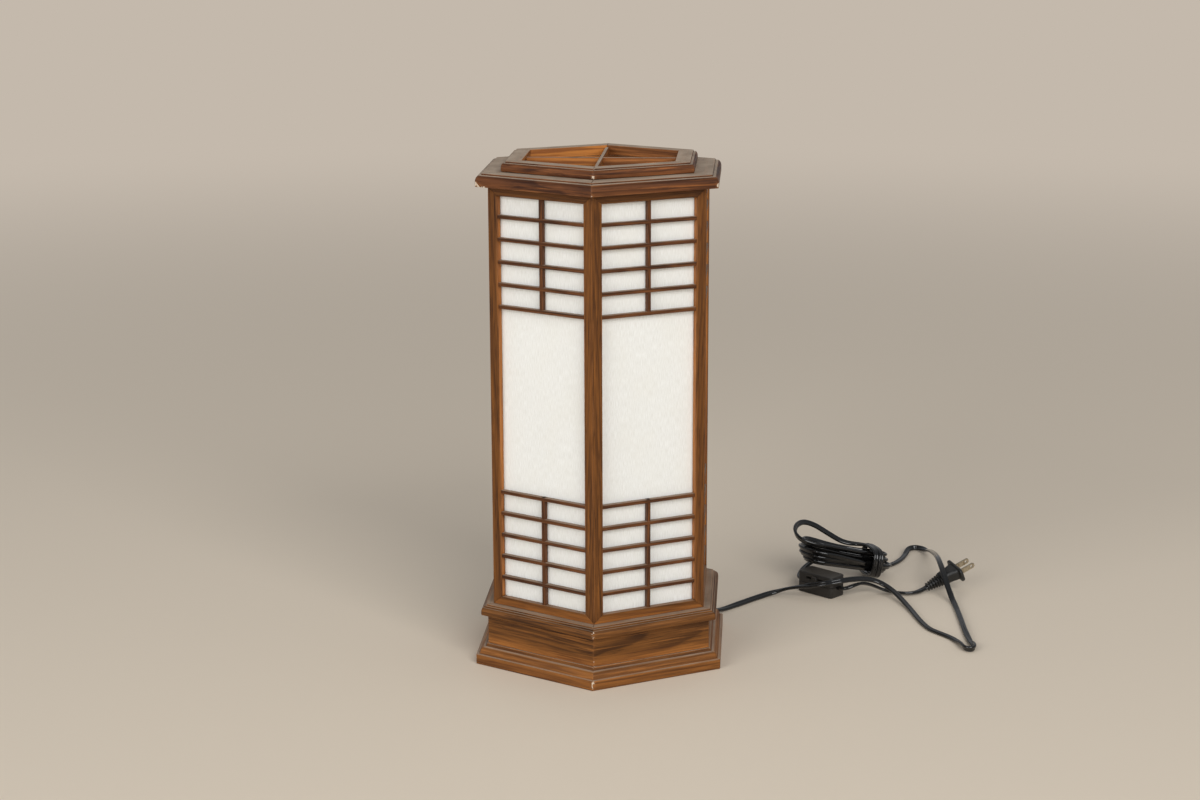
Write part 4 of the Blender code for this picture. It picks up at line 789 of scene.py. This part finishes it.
# Cord bushing: a flanged sleeve of black plastic that keeps the cord from chafing on the wood.
# It is pressed into the arch in the foot.
black_plastic = moulded("black_plastic", srgb(36, 33, 30), srgb(56, 52, 47), (0.45, 0.62))
refinish(black_plastic, "cord_bushing")

# Mains cord: flat two-core cord in glossy black vinyl, with a groove between the cores. It leaves the foot,
# lies over the floor in two tight turns and crosses the plug between them. Then it is wound into a hank, bound
# with its own turns, and ends in the dimmer.
CORD_WIDTH, CORD_THICKNESS, CORD_STEP = 0.0064, 0.0034, 0.0022
LAID_HEIGHT, LAID_UNDER, LIFTED_OVER = 0.0030, 0.004, 0.008
MOST_LEAN, LEAN_FROM, LEAN_SPAN, LEAN_BLEND = 84, 18, 60, 37
UP = Vector((0, 0, 1))
black_vinyl, tree = new_material("black_vinyl", {"Specular IOR Level": 0.65})
place = mesh_value(tree, "run", "Vector")
drawn = noise(tree, place, (60, 900, 1), 3.0, 0.6)
handled = noise(tree, place, (26, 30, 1), 3.0, 0.6)
dusty = placed(tree, settled_dust, {"Place": object_place(tree), "Amount": 0.05})
colour = mixed(tree, eased_range(tree, handled, 0.45, 0.8, 0.0, 0.7), srgb(13, 13, 13), srgb(27, 26, 25))
colour = mixed(tree, dusty["Dust"], colour, srgb(150, 138, 122))
coated(tree, colour, eased_range(tree, handled, 0.3, 0.75, 0.06, 0.17), drawn, 0.07, 0.0001)


def even_path(points, facings):
    """A smooth line through the points at even steps, with the cord's flat side turned as the facings say."""
    path, flat = np.array(points), np.array(facings, dtype=float)
    path = np.vstack([2 * path[0] - path[1], path, 2 * path[-1] - path[-2]])
    dense, sides = [], []
    for i in range(1, len(path) - 2):
        p0, p1, p2, p3 = path[i - 1:i + 3]
        for share in np.linspace(0, 1, 20, endpoint=False):
            bend = (2 * p0 - 5 * p1 + 4 * p2 - p3) * share ** 2 + (3 * p1 - p0 - 3 * p2 + p3) * share ** 3
            dense.append(0.5 * (2 * p1 + (p2 - p0) * share + bend))
            sides.append(flat[i - 1] * (1 - share) + flat[i] * share)
    dense, sides = np.vstack([dense, path[-2]]), np.vstack([sides, flat[-1]])
    marks = np.concatenate([[0], np.cumsum(np.linalg.norm(np.diff(dense, axis=0), axis=1))])
    wanted = np.linspace(0, marks[-1], round(marks[-1] / CORD_STEP) + 1)
    line = np.column_stack([np.interp(wanted, marks, dense[:, k]) for k in range(3)])
    sides = np.column_stack([np.interp(wanted, marks, sides[:, k]) for k in range(3)])
    for _ in range(4):
        line[1:-1] = (line[:-2] + 2 * line[1:-1] + line[2:]) / 4
    return line, sides


def floor_lay(line, sides, on_floor):
    """Turns the cord on edge in its tight bends, and lets what lies on the floor down to it."""
    heading = np.gradient(line, axis=0)
    heading /= np.linalg.norm(heading, axis=1)[:, None]
    turning = np.linalg.norm(np.gradient(heading, axis=0), axis=1) / CORD_STEP
    kernel = np.hanning(LEAN_BLEND) / np.hanning(LEAN_BLEND).sum()
    turning = np.convolve(np.pad(turning, LEAN_BLEND // 2, mode="edge"), kernel, mode="valid")
    lean = np.radians(MOST_LEAN) * np.clip((turning - LEAN_FROM) / LEAN_SPAN, 0, 1) * on_floor
    beside = np.cross((0, 0, 1), heading)
    beside /= np.maximum(np.linalg.norm(beside, axis=1), 1e-6)[:, None]
    sides = sides * np.cos(lean)[:, None] + beside * np.sin(lean)[:, None]
    depth = np.cos(lean) * CORD_THICKNESS / 2 + np.sin(lean) * CORD_WIDTH / 2
    laid = np.clip((LIFTED_OVER - line[:, 2]) / LAID_UNDER, 0, 1)
    line[:, 2] += (depth - LAID_HEIGHT) * on_floor * laid
    return line, sides


def flat_cord(name, line, sides, nodes):
    """Sweeps the two-core section along the line; gives the piece, its length and its path."""
    core, middle = CORD_THICKNESS / 2, (CORD_WIDTH - CORD_THICKNESS) / 2
    right = arc((middle, 0), (core, core), -112, 112, 10)
    left = arc((-middle, 0), (core, core), 68, 292, 10)
    section = right + [(0, core * 0.72)] + left + [(0, -core * 0.72)]
    heading = np.gradient(line, axis=0)
    heading /= np.linalg.norm(heading, axis=1)[:, None]
    sides = sides - heading * (sides * heading).sum(axis=1)[:, None]
    sides /= np.linalg.norm(sides, axis=1)[:, None]
    breadth = np.cross(heading, sides)
    marks = np.concatenate([[0], np.cumsum(np.linalg.norm(np.diff(line, axis=0), axis=1))])
    points, run, count = [], [], len(section)
    for spot, wide, thick, mark in zip(line, breadth, sides, marks):
        for i, (x, y) in enumerate(section):
            points.append(tuple(spot + wide * x + thick * y))
            run.append((mark, 0.016 * abs(2 * i / count - 1), 0))
    faces = tube_faces(count, len(line))
    cord = finished(name, points, faces, black_vinyl, "lamp", "black_vinyl", nodes, 75, {"run": run})
    return cord, marks[-1], [tuple(spot) for spot in line]


def metres(route):
    return [Vector(point) * 0.001 for point in route]


FLOOR_ROUTE = (
    (119.5, 103.5, 4.2), (142, 129.5, 3.9), (164, 155, 3.9), (180.5, 166, 5), (197, 164.3, 10),
    (208, 159.2, 13.3), (219, 155.6, 16.2), (230, 152.5, 18.8), (243, 151.4, 21.4), (254, 154.5, 22.8),
    (264, 160.4, 22.6), (275.5, 168.2, 21), (286.7, 173.8, 18.5), (297, 174.8, 15), (307.6, 168, 10.4),
    (317.7, 151, 6.4), (327, 123, 3.8), (335.3, 85.7, 3.1), (343, 60.5, 3.1), (352, 47.5, 3.1),
    (362, 35, 3.1), (369.5, 21, 3.1), (373, 8, 3.1), (374.4, -2, 3.1), (376, -5.8, 3.1), (379.8, -7.4, 3.1),
    (383.6, -5.8, 3.1), (385.2, -2, 3.1), (384.8, 8, 3.1), (382.6, 24, 3.4), (380.4, 52, 3.9),
    (379, 94, 3.9), (377, 138, 3.9), (375, 154, 5.4), (372.2, 164.5, 11), (369, 176, 19.4),
    (366, 193.5, 27.6), (364.4, 219, 29.2), (363.8, 256, 23.6), (361.8, 298, 14.6), (359.4, 326, 6.8),
    (355.6, 341, 3.6), (347.5, 347.5, 3.1), (339.6, 342, 3.1), (335, 327, 3.1), (329.5, 309, 3.1),
    (322.5, 294, 3.1), (313.5, 281, 3.2), (303, 272, 3.8), (292.5, 265.5, 4.2), (285.6, 257, 4.4),
)
DIMMER_ROUTE = (
    (226, 239.6, 18.8), (217, 230.5, 16), (211.4, 219.5, 13.6), (208.6, 209.8, 11.6), (208, 204.4, 11),
)
# Stretches of the route where the flat cord leans: from one point up to another, and the way it faces.
LEANS = ((3, 6, (0.46, -0.39, 0.8)), (8, 17, (0, -0.75, 0.66)), (32, 36, (-0.6, 0, 0.8)))
FOOT_EXIT, EXIT_ANGLE = 0.1243, math.radians(60)
outward = Vector((math.cos(EXIT_ANGLE), math.sin(EXIT_ANGLE), 0))
cord_exit = outward * FOOT_EXIT + Vector((-outward.y, outward.x, 0)) * ARCH_OFFSET
cord_exit.z = ARCH_HEIGHT

HANK = Matrix.Translation((0.2595, 0.230, 0.0275)) @ Matrix.Rotation(math.radians(18), 4, "Z")
HANK = HANK @ Matrix.Rotation(math.radians(12.5), 4, "Y") @ Matrix.Rotation(math.radians(-4), 4, "X")
HANK_HALF, LEFT_FOLD, RIGHT_FOLD = 0.055, 0.024, 0.0165
STRAND, LAYER, LAYERS, RUN = 0.0083, 0.0058, 4, 0.3
WAIST, WAIST_DEPTH, BINDING = 0.010, 0.0024, 0.0072
FAN_START, FAN_LIFT, FAN_REACH, FAN_ROLL = 0.024, 0.018, 0.014, 0.38
FAN_END, FAN_FADE = 1.75, 0.25
FIRST_FAN_REACH, FIRST_FAN_SLANT, FIRST_FAN_ROLL = 0.006, 0.45, 0.26
LOOP_START, LOOP_TURNS, LOOP_STEPS = 0.17, 5.03, 122
WRAP_START, WRAP_PITCH, WRAP_STEPS, WRAP_ANGLE = 0.036, 0.0062, 36, 15


def held(value):
    return min(max(value, 0), 1)


def smooth(value):
    """Eases a share in and out between 0 and 1."""
    return 3 * held(value) ** 2 - 2 * held(value) ** 3


def hank_loop(turn):
    """Place on the hank's loops: back run, left fold, front run and right fold, sinking from layer to layer."""
    inset, height = 0.0, (LAYERS - 1) / 2 * LAYER
    for layer in range(LAYERS):
        begin = 1.5 * layer
        inset += (STRAND if layer % 2 == 0 else -STRAND) * held(turn - begin)
        if layer < LAYERS - 1:
            height -= LAYER * smooth((turn - begin - 1) / RUN)
    left_end, right_end = LEFT_FOLD - HANK_HALF, HANK_HALF - RIGHT_FOLD
    left, right = LEFT_FOLD - inset, RIGHT_FOLD - inset
    back, phase = turn % 1 < 0.5, turn % 0.5
    if phase < RUN:
        share = 1 - phase / RUN if back else phase / RUN
        x, y = left_end + (right_end - left_end) * share, left + (right - left) * share
        if x > WAIST:
            y -= WAIST_DEPTH * math.sin(math.pi * (x - WAIST) / (right_end - WAIST)) ** 2
        y = y if back else -y
    else:
        angle = math.pi * (phase - RUN) / (0.5 - RUN)
        x = left_end - left * math.sin(angle) if back else right_end + right * math.sin(angle)
        y = left * math.cos(angle) if back else -right * math.cos(angle)
    sprung = smooth((FAN_START - x) / (FAN_START + HANK_HALF))
    sprung = sprung * held((FAN_END - turn) / FAN_FADE) / (1 + turn)
    first = held((1 - turn) / FAN_FADE)
    reach = FAN_REACH + first * (FIRST_FAN_REACH - FIRST_FAN_SLANT * y)
    roll = FAN_ROLL + FIRST_FAN_ROLL * first
    return Vector((x - reach * sprung, y, height + (FAN_LIFT + roll * y) * sprung))


def hank_wrap(angle, x):
    """Place on the binding round the waist, and the way in from there to the bundle."""
    wide, high = RIGHT_FOLD + BINDING, (LAYERS - 1) / 2 * LAYER + BINDING
    y = wide * math.copysign(abs(math.cos(angle)) ** 0.5, math.cos(angle))
    z = high * math.copysign(abs(math.sin(angle)) ** 0.5, math.sin(angle))
    return Vector((x, y, z)), Vector((0, -y / wide ** 2, -z / high ** 2)).normalized()


wound, wound_sides = [], []
for step in range(WRAP_STEPS + 1):
    swept = math.radians(WRAP_ANGLE * step)
    spot, inward = hank_wrap(math.radians(-90) - swept, WRAP_START - WRAP_PITCH * swept / (2 * math.pi))
    wound.append(spot)
    wound_sides.append(inward)
loops = [hank_loop(LOOP_START + LOOP_TURNS * step / LOOP_STEPS) for step in range(LOOP_STEPS + 1)]
loop_sides = []
for step, spot in enumerate(loops):
    heading = loops[min(step + 1, LOOP_STEPS)] - loops[max(step - 1, 0)]
    lean = math.radians(50 + 8 * math.sin(step * 0.4)) * min((LOOP_STEPS - step) / 6, 1)
    loop_sides.append(heading.cross(UP).normalized() * math.sin(lean) - UP * math.cos(lean))
leave, arrive = (wound[-1] - wound[-2]).normalized(), (loops[1] - loops[0]).normalized()
start, end = wound[-1], loops[0]
span = (end - start).length * 1.1
for share in (0.2, 0.4, 0.6, 0.8):
    a, b = 2 * share ** 3 - 3 * share ** 2 + 1, share ** 3 - 2 * share ** 2 + share
    wound.append(start * a + leave * span * b + end * (1 - a) + arrive * span * (share ** 3 - share ** 2))
    wound_sides.append(loop_sides[0] * share - UP * (1 - share))
wound += loops
wound_sides += loop_sides
wound = [HANK @ spot for spot in wound]
wound_sides = [HANK.to_3x3() @ side for side in wound_sides]

DIMMER = Matrix.Translation((0.2318, 0.1811, 0)) @ Matrix.Rotation(math.radians(-40), 4, "Z")
DIMMER_LENGTH, DIMMER_WIDTH, CORD_HEIGHT = 0.048, 0.024, 0.011
floor_points = [cord_exit, cord_exit + outward * 0.0075] + metres(FLOOR_ROUTE)
dimmer_points = metres(DIMMER_ROUTE)
dimmer_points += [DIMMER @ Vector((-DIMMER_LENGTH / 2 - reach, 0, CORD_HEIGHT)) for reach in (0.005, -0.001)]
points = floor_points + wound + dimmer_points
facings = [UP] * len(floor_points) + wound_sides + [-UP] * len(dimmer_points)
for first, last, facing in LEANS:
    facings[first:last] = [Vector(facing)] * (last - first)
line, sides = even_path(points, facings)
wound_start = int(np.argmin(np.linalg.norm(line - np.array(wound[0]), axis=1)))
steps = np.arange(len(line))
on_floor = np.clip((wound_start - steps) / 30, 0, 1) * np.clip((steps - 4) / 12, 0, 1)
line, sides = floor_lay(line, sides, on_floor)
nodes = ["cord_to_hank", "cord_hank", "cord_to_dimmer"]
mains_cord, mains_length, mains_path = flat_cord("mains_cord", line, sides, nodes)

# Plug lead: the short end of the same flat cord, from the dimmer to the plug.
# It arches up out of the dimmer, comes down to the floor and bends up into the tilted plug.
LEAD_ROUTE = (
    (259, 160.4, 12), (264, 161.4, 13.8), (269.5, 165.2, 15), (277, 172, 14.6), (286.5, 178.4, 11.2),
    (298, 181.6, 6), (310, 180, 3.4), (321, 176.8, 3), (331.5, 177.2, 3), (340, 181.8, 3.2),
)
PLUG = Matrix.Translation((0.350, 0.1905, 0.0055)) @ Matrix.Rotation(math.radians(22), 4, "Z")
PLUG = PLUG @ Matrix.Rotation(math.radians(-24), 4, "Y") @ Matrix.Rotation(math.radians(8) + math.pi, 4, "X")
lead_start = DIMMER @ Vector((DIMMER_LENGTH / 2 - 0.001, 0, CORD_HEIGHT))
points = [lead_start, DIMMER @ Vector((DIMMER_LENGTH / 2 + 0.005, 0, CORD_HEIGHT))] + metres(LEAD_ROUTE)
points += [PLUG @ Vector((reach, 0, 0)) for reach in (-0.005, 0.001)]
facings = [UP] * (len(points) - 2) + [PLUG.to_3x3() @ Vector((0, 0, -1))] * 2
line, sides = even_path(points, facings)
steps = np.arange(len(line))
on_floor = np.clip(steps / 12 - 0.5, 0, 1) * np.clip((len(line) - steps) / 12 - 0.5, 0, 1)
line, sides = floor_lay(line, sides, on_floor)
plug_lead, lead_length, lead_path = flat_cord("plug_lead_cord", line, sides, ["plug_lead"])

# Inner lead: the cord's last stretch inside the base, from the bushing up into the nipple.
# It is the same flat cord, held at both ends and hidden by the plinth.
inner_points = [cord_exit + outward * reach for reach in (-0.0015, -0.0143, -0.0263)]
last = inner_points[-1]
inner_points += [Vector((last.x * 0.55, last.y * 0.55, 0.0059)), Vector((last.x * 0.16, last.y * 0.16, 0.0163))]
inner_points += [Vector((0, 0, 0.0353)), Vector((0, 0, 0.0400))]
line, sides = even_path(inner_points, [UP] * 4 + [outward] * 3)
inner_lead, inner_length, inner_path = flat_cord("inner_lead_cord", line, sides, ["inner_lead"])

# Dimmer: two moulded shells of matt black plastic that meet at half height, with a thumb slider in a slot.
# It lies on the floor under the hank, in line between the cord and the plug lead.
SLOT_HALF, SLOT_RISE, SLOT_HEIGHT, WALL = 0.0118, 0.0015, 0.018, -DIMMER_WIDTH / 2
SHELL_ROUND, MOST_INSET = 0.004, 0.003


def rounded_outline(length, width, radius, steps=5):
    outline = []
    for x, y, start in ((1, 1, 0), (-1, 1, 90), (-1, -1, 180), (1, -1, 270)):
        centre = (x * (length / 2 - radius), y * (width / 2 - radius))
        outline += arc(centre, (radius, radius), start, start + 90, steps)
    return outline


def stacked(rings):
    """Points and faces of a closed solid through rings of equal count."""
    return [tuple(point) for ring in rings for point in ring], tube_faces(len(rings[0]), len(rings))


def shell(levels):
    """Half of the dimmer as a stack of (height, inset)."""
    rings = []
    for height, inset in levels:
        length, width = DIMMER_LENGTH - 2 * inset, DIMMER_WIDTH - 2 * inset
        outline = rounded_outline(length, width, SHELL_ROUND - min(inset, MOST_INSET))
        rings.append([DIMMER @ Vector((x, y, height)) for x, y in outline])
    return stacked(rings)


def cut_out(piece, cutter_points, cutter_faces):
    """Cuts a shape out of a finished piece."""
    cutter = bpy.data.objects.new("cutter", closed_mesh("cutter", cutter_points, cutter_faces))
    bpy.context.scene.collection.objects.link(cutter)
    modifier = piece.modifiers.new("cut", "BOOLEAN")
    modifier.object = cutter
    seen = piece.evaluated_get(bpy.context.evaluated_depsgraph_get())
    cut = bpy.data.meshes.new_from_object(seen)
    piece.modifiers.remove(modifier)
    piece.data = cut
    bpy.data.objects.remove(cutter, do_unlink=True)


def plastic_part(name, solid, body, cad_node):
    return finished(name, *solid, black_plastic, body, "black_plastic", [cad_node])


lower = shell([(0.0, 0.0011), (0.0003, 0.0005), (0.001, 0.0), (0.0115, 0.0), (0.01185, 0.00035)])
dimmer_lower = plastic_part("dimmer_lower_shell", lower, "lamp", "dimmer_base")
upper = shell(
    [(0.01215, 0.00035), (0.0125, 0.0), (0.0228, 0.0), (0.0234, 0.0002), (0.0238, 0.0006), (0.024, 0.0012)]
)
dimmer_upper = plastic_part("dimmer_upper_shell", upper, "lamp", "dimmer_cover")
slot_outline = [(-SLOT_HALF, -SLOT_RISE), (SLOT_HALF, -SLOT_RISE)]
slot_outline += [(SLOT_HALF, SLOT_RISE), (-SLOT_HALF, SLOT_RISE)]
slot_rings = [
    [DIMMER @ Vector((x, y, SLOT_HEIGHT + z)) for x, z in slot_outline] for y in (WALL - 0.002, WALL + 0.004)
]
cut_out(dimmer_upper, *stacked(slot_rings))
slider_rings = []
for y, x, z in (
    (WALL + 0.0035, 0.0033, 0.0012), (WALL - 0.0003, 0.0033, 0.0012), (WALL - 0.0003, 0.0035, 0.0028),
    (WALL - 0.0016, 0.0035, 0.0028), (WALL - 0.0021, 0.0031, 0.0024),
):
    ring = rounded_outline(2 * x, 2 * z, min(x, z) * 0.4, 3)
    slider_rings.append([DIMMER @ Vector((u, y, SLOT_HEIGHT + v)) for u, v in ring])
dimmer_slider = plastic_part("dimmer_thumb_slider", stacked(slider_rings), "slider", "dimmer_slider")

# Plug: a two-blade plug moulded in black vinyl onto the cord, with a ribbed, tapered strain relief, a waisted
# grip and a flange round the face that the blades stand in.
plug_vinyl = moulded("plug_vinyl", srgb(28, 28, 27), srgb(52, 50, 47), (0.38, 0.55), 1800.0, 0.12)
RELIEF, GRIP, FLANGE = 0.019, 0.0195, 0.003
BLADE_SPACING, BLADE_ROOT, BLADE_SHOULDER, BLADE_REACH = 0.00635, 0.001, 0.0159, 0.0175
BLADE_HALF, BLADE_TIP, HOLE_REACH, HOLE_RADIUS = 0.00315, 0.0016, 0.0137, 0.0016
face = RELIEF + GRIP + FLANGE
tree, rib_sockets, given = new_form(
    "strain_relief", ("Length", "Thin End", "Thick End", "Slot Depth"), ("Ribs",)
)
core = {"Vertices": 28, "Depth": given["Length"]}
core["Radius Top"] = maths(tree, "SUBTRACT", given["Thick End"], given["Slot Depth"])
core["Radius Bottom"] = maths(tree, "SUBTRACT", given["Thin End"], given["Slot Depth"])
core = formed(tree, "MeshCone", core)
pitch = maths(tree, "DIVIDE", given["Length"], given["Ribs"])
rib_line = formed(tree, "MeshLine", {
    "Count": given["Ribs"], "Offset": vector(tree, 0.0, 0.0, pitch),
    "Start Location": vector(tree, 0.0, 0.0, maths(tree, "MULTIPLY", pitch, 0.3)),
})
ring = formed(tree, "CurvePrimitiveCircle", {"Resolution": 28, "Radius": 0.75}, mode="RADIUS")
bead = formed(tree, "CurvePrimitiveQuadrilateral", {"Width": 0.8, "Height": 0.5})
bead = formed(tree, "FilletCurve", {"Curve": bead, "Radius": 0.1, "Count": 2}, mode="POLY")
rib = formed(tree, "CurveToMesh", {"Curve": ring, "Profile Curve": bead})
share = maths(tree, "DIVIDE", formed(tree, "InputIndex"), given["Ribs"])
girth = maths(tree, "SUBTRACT", given["Thick End"], given["Thin End"])
girth = maths(tree, "MULTIPLY_ADD", girth, share, given["Thin End"])
flatness = maths(tree, "MULTIPLY", pitch, 0.9)
ribs = {"Points": rib_line, "Instance": rib, "Scale": vector(tree, girth, girth, flatness)}
relief = joined(tree, core, formed(tree, "InstanceOnPoints", ribs))
ended(tree, formed(tree, "RealizeInstances", {"Geometry": relief}), plug_vinyl)
values = {"Ribs": 6, "Length": RELIEF, "Thin End": 0.0041, "Thick End": 0.0068, "Slot Depth": 0.0022}
mesh = grown("plug_relief", tree, rib_sockets, values)
mesh.transform(PLUG @ Matrix.Rotation(math.radians(90), 4, "Y"))
mesh.shade_smooth()
mesh.set_sharp_from_angle(angle=math.radians(40))
plug_relief = mounted("plug_relief", mesh, "lamp")
grip_rings = []
for x, wide, thick in (
    (0.0, 0.0068, 0.0052), (0.0006, 0.0074, 0.0062), (0.004, 0.0077, 0.0068), (0.009, 0.0078, 0.007),
    (0.013, 0.0088, 0.007), (0.017, 0.0101, 0.0071), (0.0194, 0.0106, 0.0072), (0.01945, 0.0154, 0.0080),
    (0.0199, 0.016, 0.0085), (0.0219, 0.016, 0.0085), (0.0225, 0.0154, 0.0079),
):
    ring = rounded_outline(2 * wide, 2 * thick, thick * 0.62, 6)
    grip_rings.append([PLUG @ Vector((RELIEF - 0.0011 + x, u, v)) for u, v in ring])
points, faces = stacked(grip_rings)
plug_grip = finished("plug_grip", points, faces, plug_vinyl, "lamp", "black_vinyl", ["plug_body"], 50)
blade_metal = plated("nickelled_brass", srgb(190, 180, 160), srgb(150, 136, 112), (0.3, 0.5))
outline = [(face - BLADE_ROOT, -BLADE_HALF), (face + BLADE_SHOULDER, -BLADE_HALF)]
outline += [(face + BLADE_REACH, -BLADE_TIP)]
outline += [(x, -z) for x, z in reversed(outline)]
centre = Vector((sum(x for x, z in outline) / len(outline), 0.0))
hole = arc((face + HOLE_REACH, 0.0), (HOLE_RADIUS, HOLE_RADIUS), 0, 345, 23)
for name, side in (("plug_blade_left", -BLADE_SPACING), ("plug_blade_right", BLADE_SPACING)):
    rings = []
    for inset, level in ((0.00025, -0.00075), (0.0, -0.0005), (0.0, 0.0005), (0.00025, 0.00075)):
        pulled = [Vector(point) + (centre - Vector(point)).normalized() * inset for point in outline]
        rings.append([PLUG @ Vector((x, side + level, z)) for x, z in pulled])
    points, faces = stacked(rings)
    blade = finished(name + "_plated", points, faces, blade_metal, "lamp", "nickelled_brass", [name], 25)
    hole_rings = [[PLUG @ Vector((x, side + level, z)) for x, z in hole] for level in (-0.002, 0.002)]
    cut_out(blade, *stacked(hole_rings))

# Studio: a large plain pale floor that the lamp stands on, and the camera of the photo.
# One large soft light stands in front to the right, a weaker one to the left, and a pale sky fills the shadows.
CAMERA_PLACE, CAMERA_TURN, CAMERA_DIP, CAMERA_ROLL = (0.1569, -2.1979, 0.7809), 4.1376, 13.2818, -0.1951
floor_mesh = bpy.data.meshes.new("floor")
shape = bmesh.new()
bmesh.ops.create_circle(shape, cap_ends=True, segments=96, radius=14.0)
shape.to_mesh(floor_mesh)
shape.free()
floor = bpy.data.objects.new("floor", floor_mesh)
floor.location.z = -0.0002
bpy.context.scene.collection.objects.link(floor)
pale_floor, tree = new_material("pale_floor", {"Roughness": 0.75, "Base Color": srgb(235, 220, 199)})
lit = tree.nodes["Principled BSDF"].outputs[0]
distance = node(tree, "ShaderNodeVectorMath", {0: object_place(tree)}, operation="LENGTH").outputs["Value"]
seen_by = node(tree, "ShaderNodeLightPath").outputs
seen = maths(tree, "MAXIMUM", seen_by["Is Camera Ray"], seen_by["Is Glossy Ray"])
seen = maths(tree, "MAXIMUM", seen, seen_by["Is Transmission Ray"])
far = maths(tree, "MULTIPLY", seen, eased_range(tree, distance, 0.9, 4.5))
glow = node(tree, "ShaderNodeEmission", {"Color": srgb(196, 185, 172), "Strength": 1.0}).outputs[0]
surface = node(tree, "ShaderNodeMixShader", {0: far, 1: lit, 2: glow}).outputs[0]
tree.links.new(surface, tree.nodes["Material Output"].inputs["Surface"])
floor_mesh.materials.append(pale_floor)

world = bpy.data.worlds.new("studio")
bpy.context.scene.world = world
world.use_nodes = True
backdrop = world.node_tree.nodes["Background"]
backdrop.inputs["Color"].default_value = srgb(238, 241, 246)
backdrop.inputs["Strength"].default_value = 0.34


def soft_light(name, place, aim, size, power):
    data = bpy.data.lights.new(name, "AREA")
    data.shape = "RECTANGLE"
    data.size, data.size_y = size
    data.energy = power
    light = bpy.data.objects.new(name, data)
    turn = (Vector(aim) - Vector(place)).to_track_quat("-Z", "Y").to_matrix().to_4x4()
    light.matrix_world = Matrix.Translation(place) @ turn
    bpy.context.scene.collection.objects.link(light)


soft_light("key_light", (2.0, -4.0, 2.7), (0.05, 0, 0.2), (3.2, 3.2), 146)
soft_light("fill_light", (-2.9, -3.9, 2.0), (0, 0, 0.25), (3.2, 2.4), 102)

camera_data = bpy.data.cameras.new("camera")
camera_data.sensor_fit = "HORIZONTAL"
camera_data.sensor_width = 36
camera_data.lens = 66.6
camera = bpy.data.objects.new("camera", camera_data)
turn = Matrix.Rotation(math.radians(CAMERA_TURN), 4, "Z")
turn = turn @ Matrix.Rotation(math.radians(90 - CAMERA_DIP), 4, "X")
turn = turn @ Matrix.Rotation(math.radians(CAMERA_ROLL), 4, "Z")
camera.matrix_world = Matrix.Translation(CAMERA_PLACE) @ turn
bpy.context.scene.collection.objects.link(camera)
bpy.context.scene.camera = camera
bpy.context.scene.view_settings.view_transform = "Standard"

bpy.context.view_layer.update()
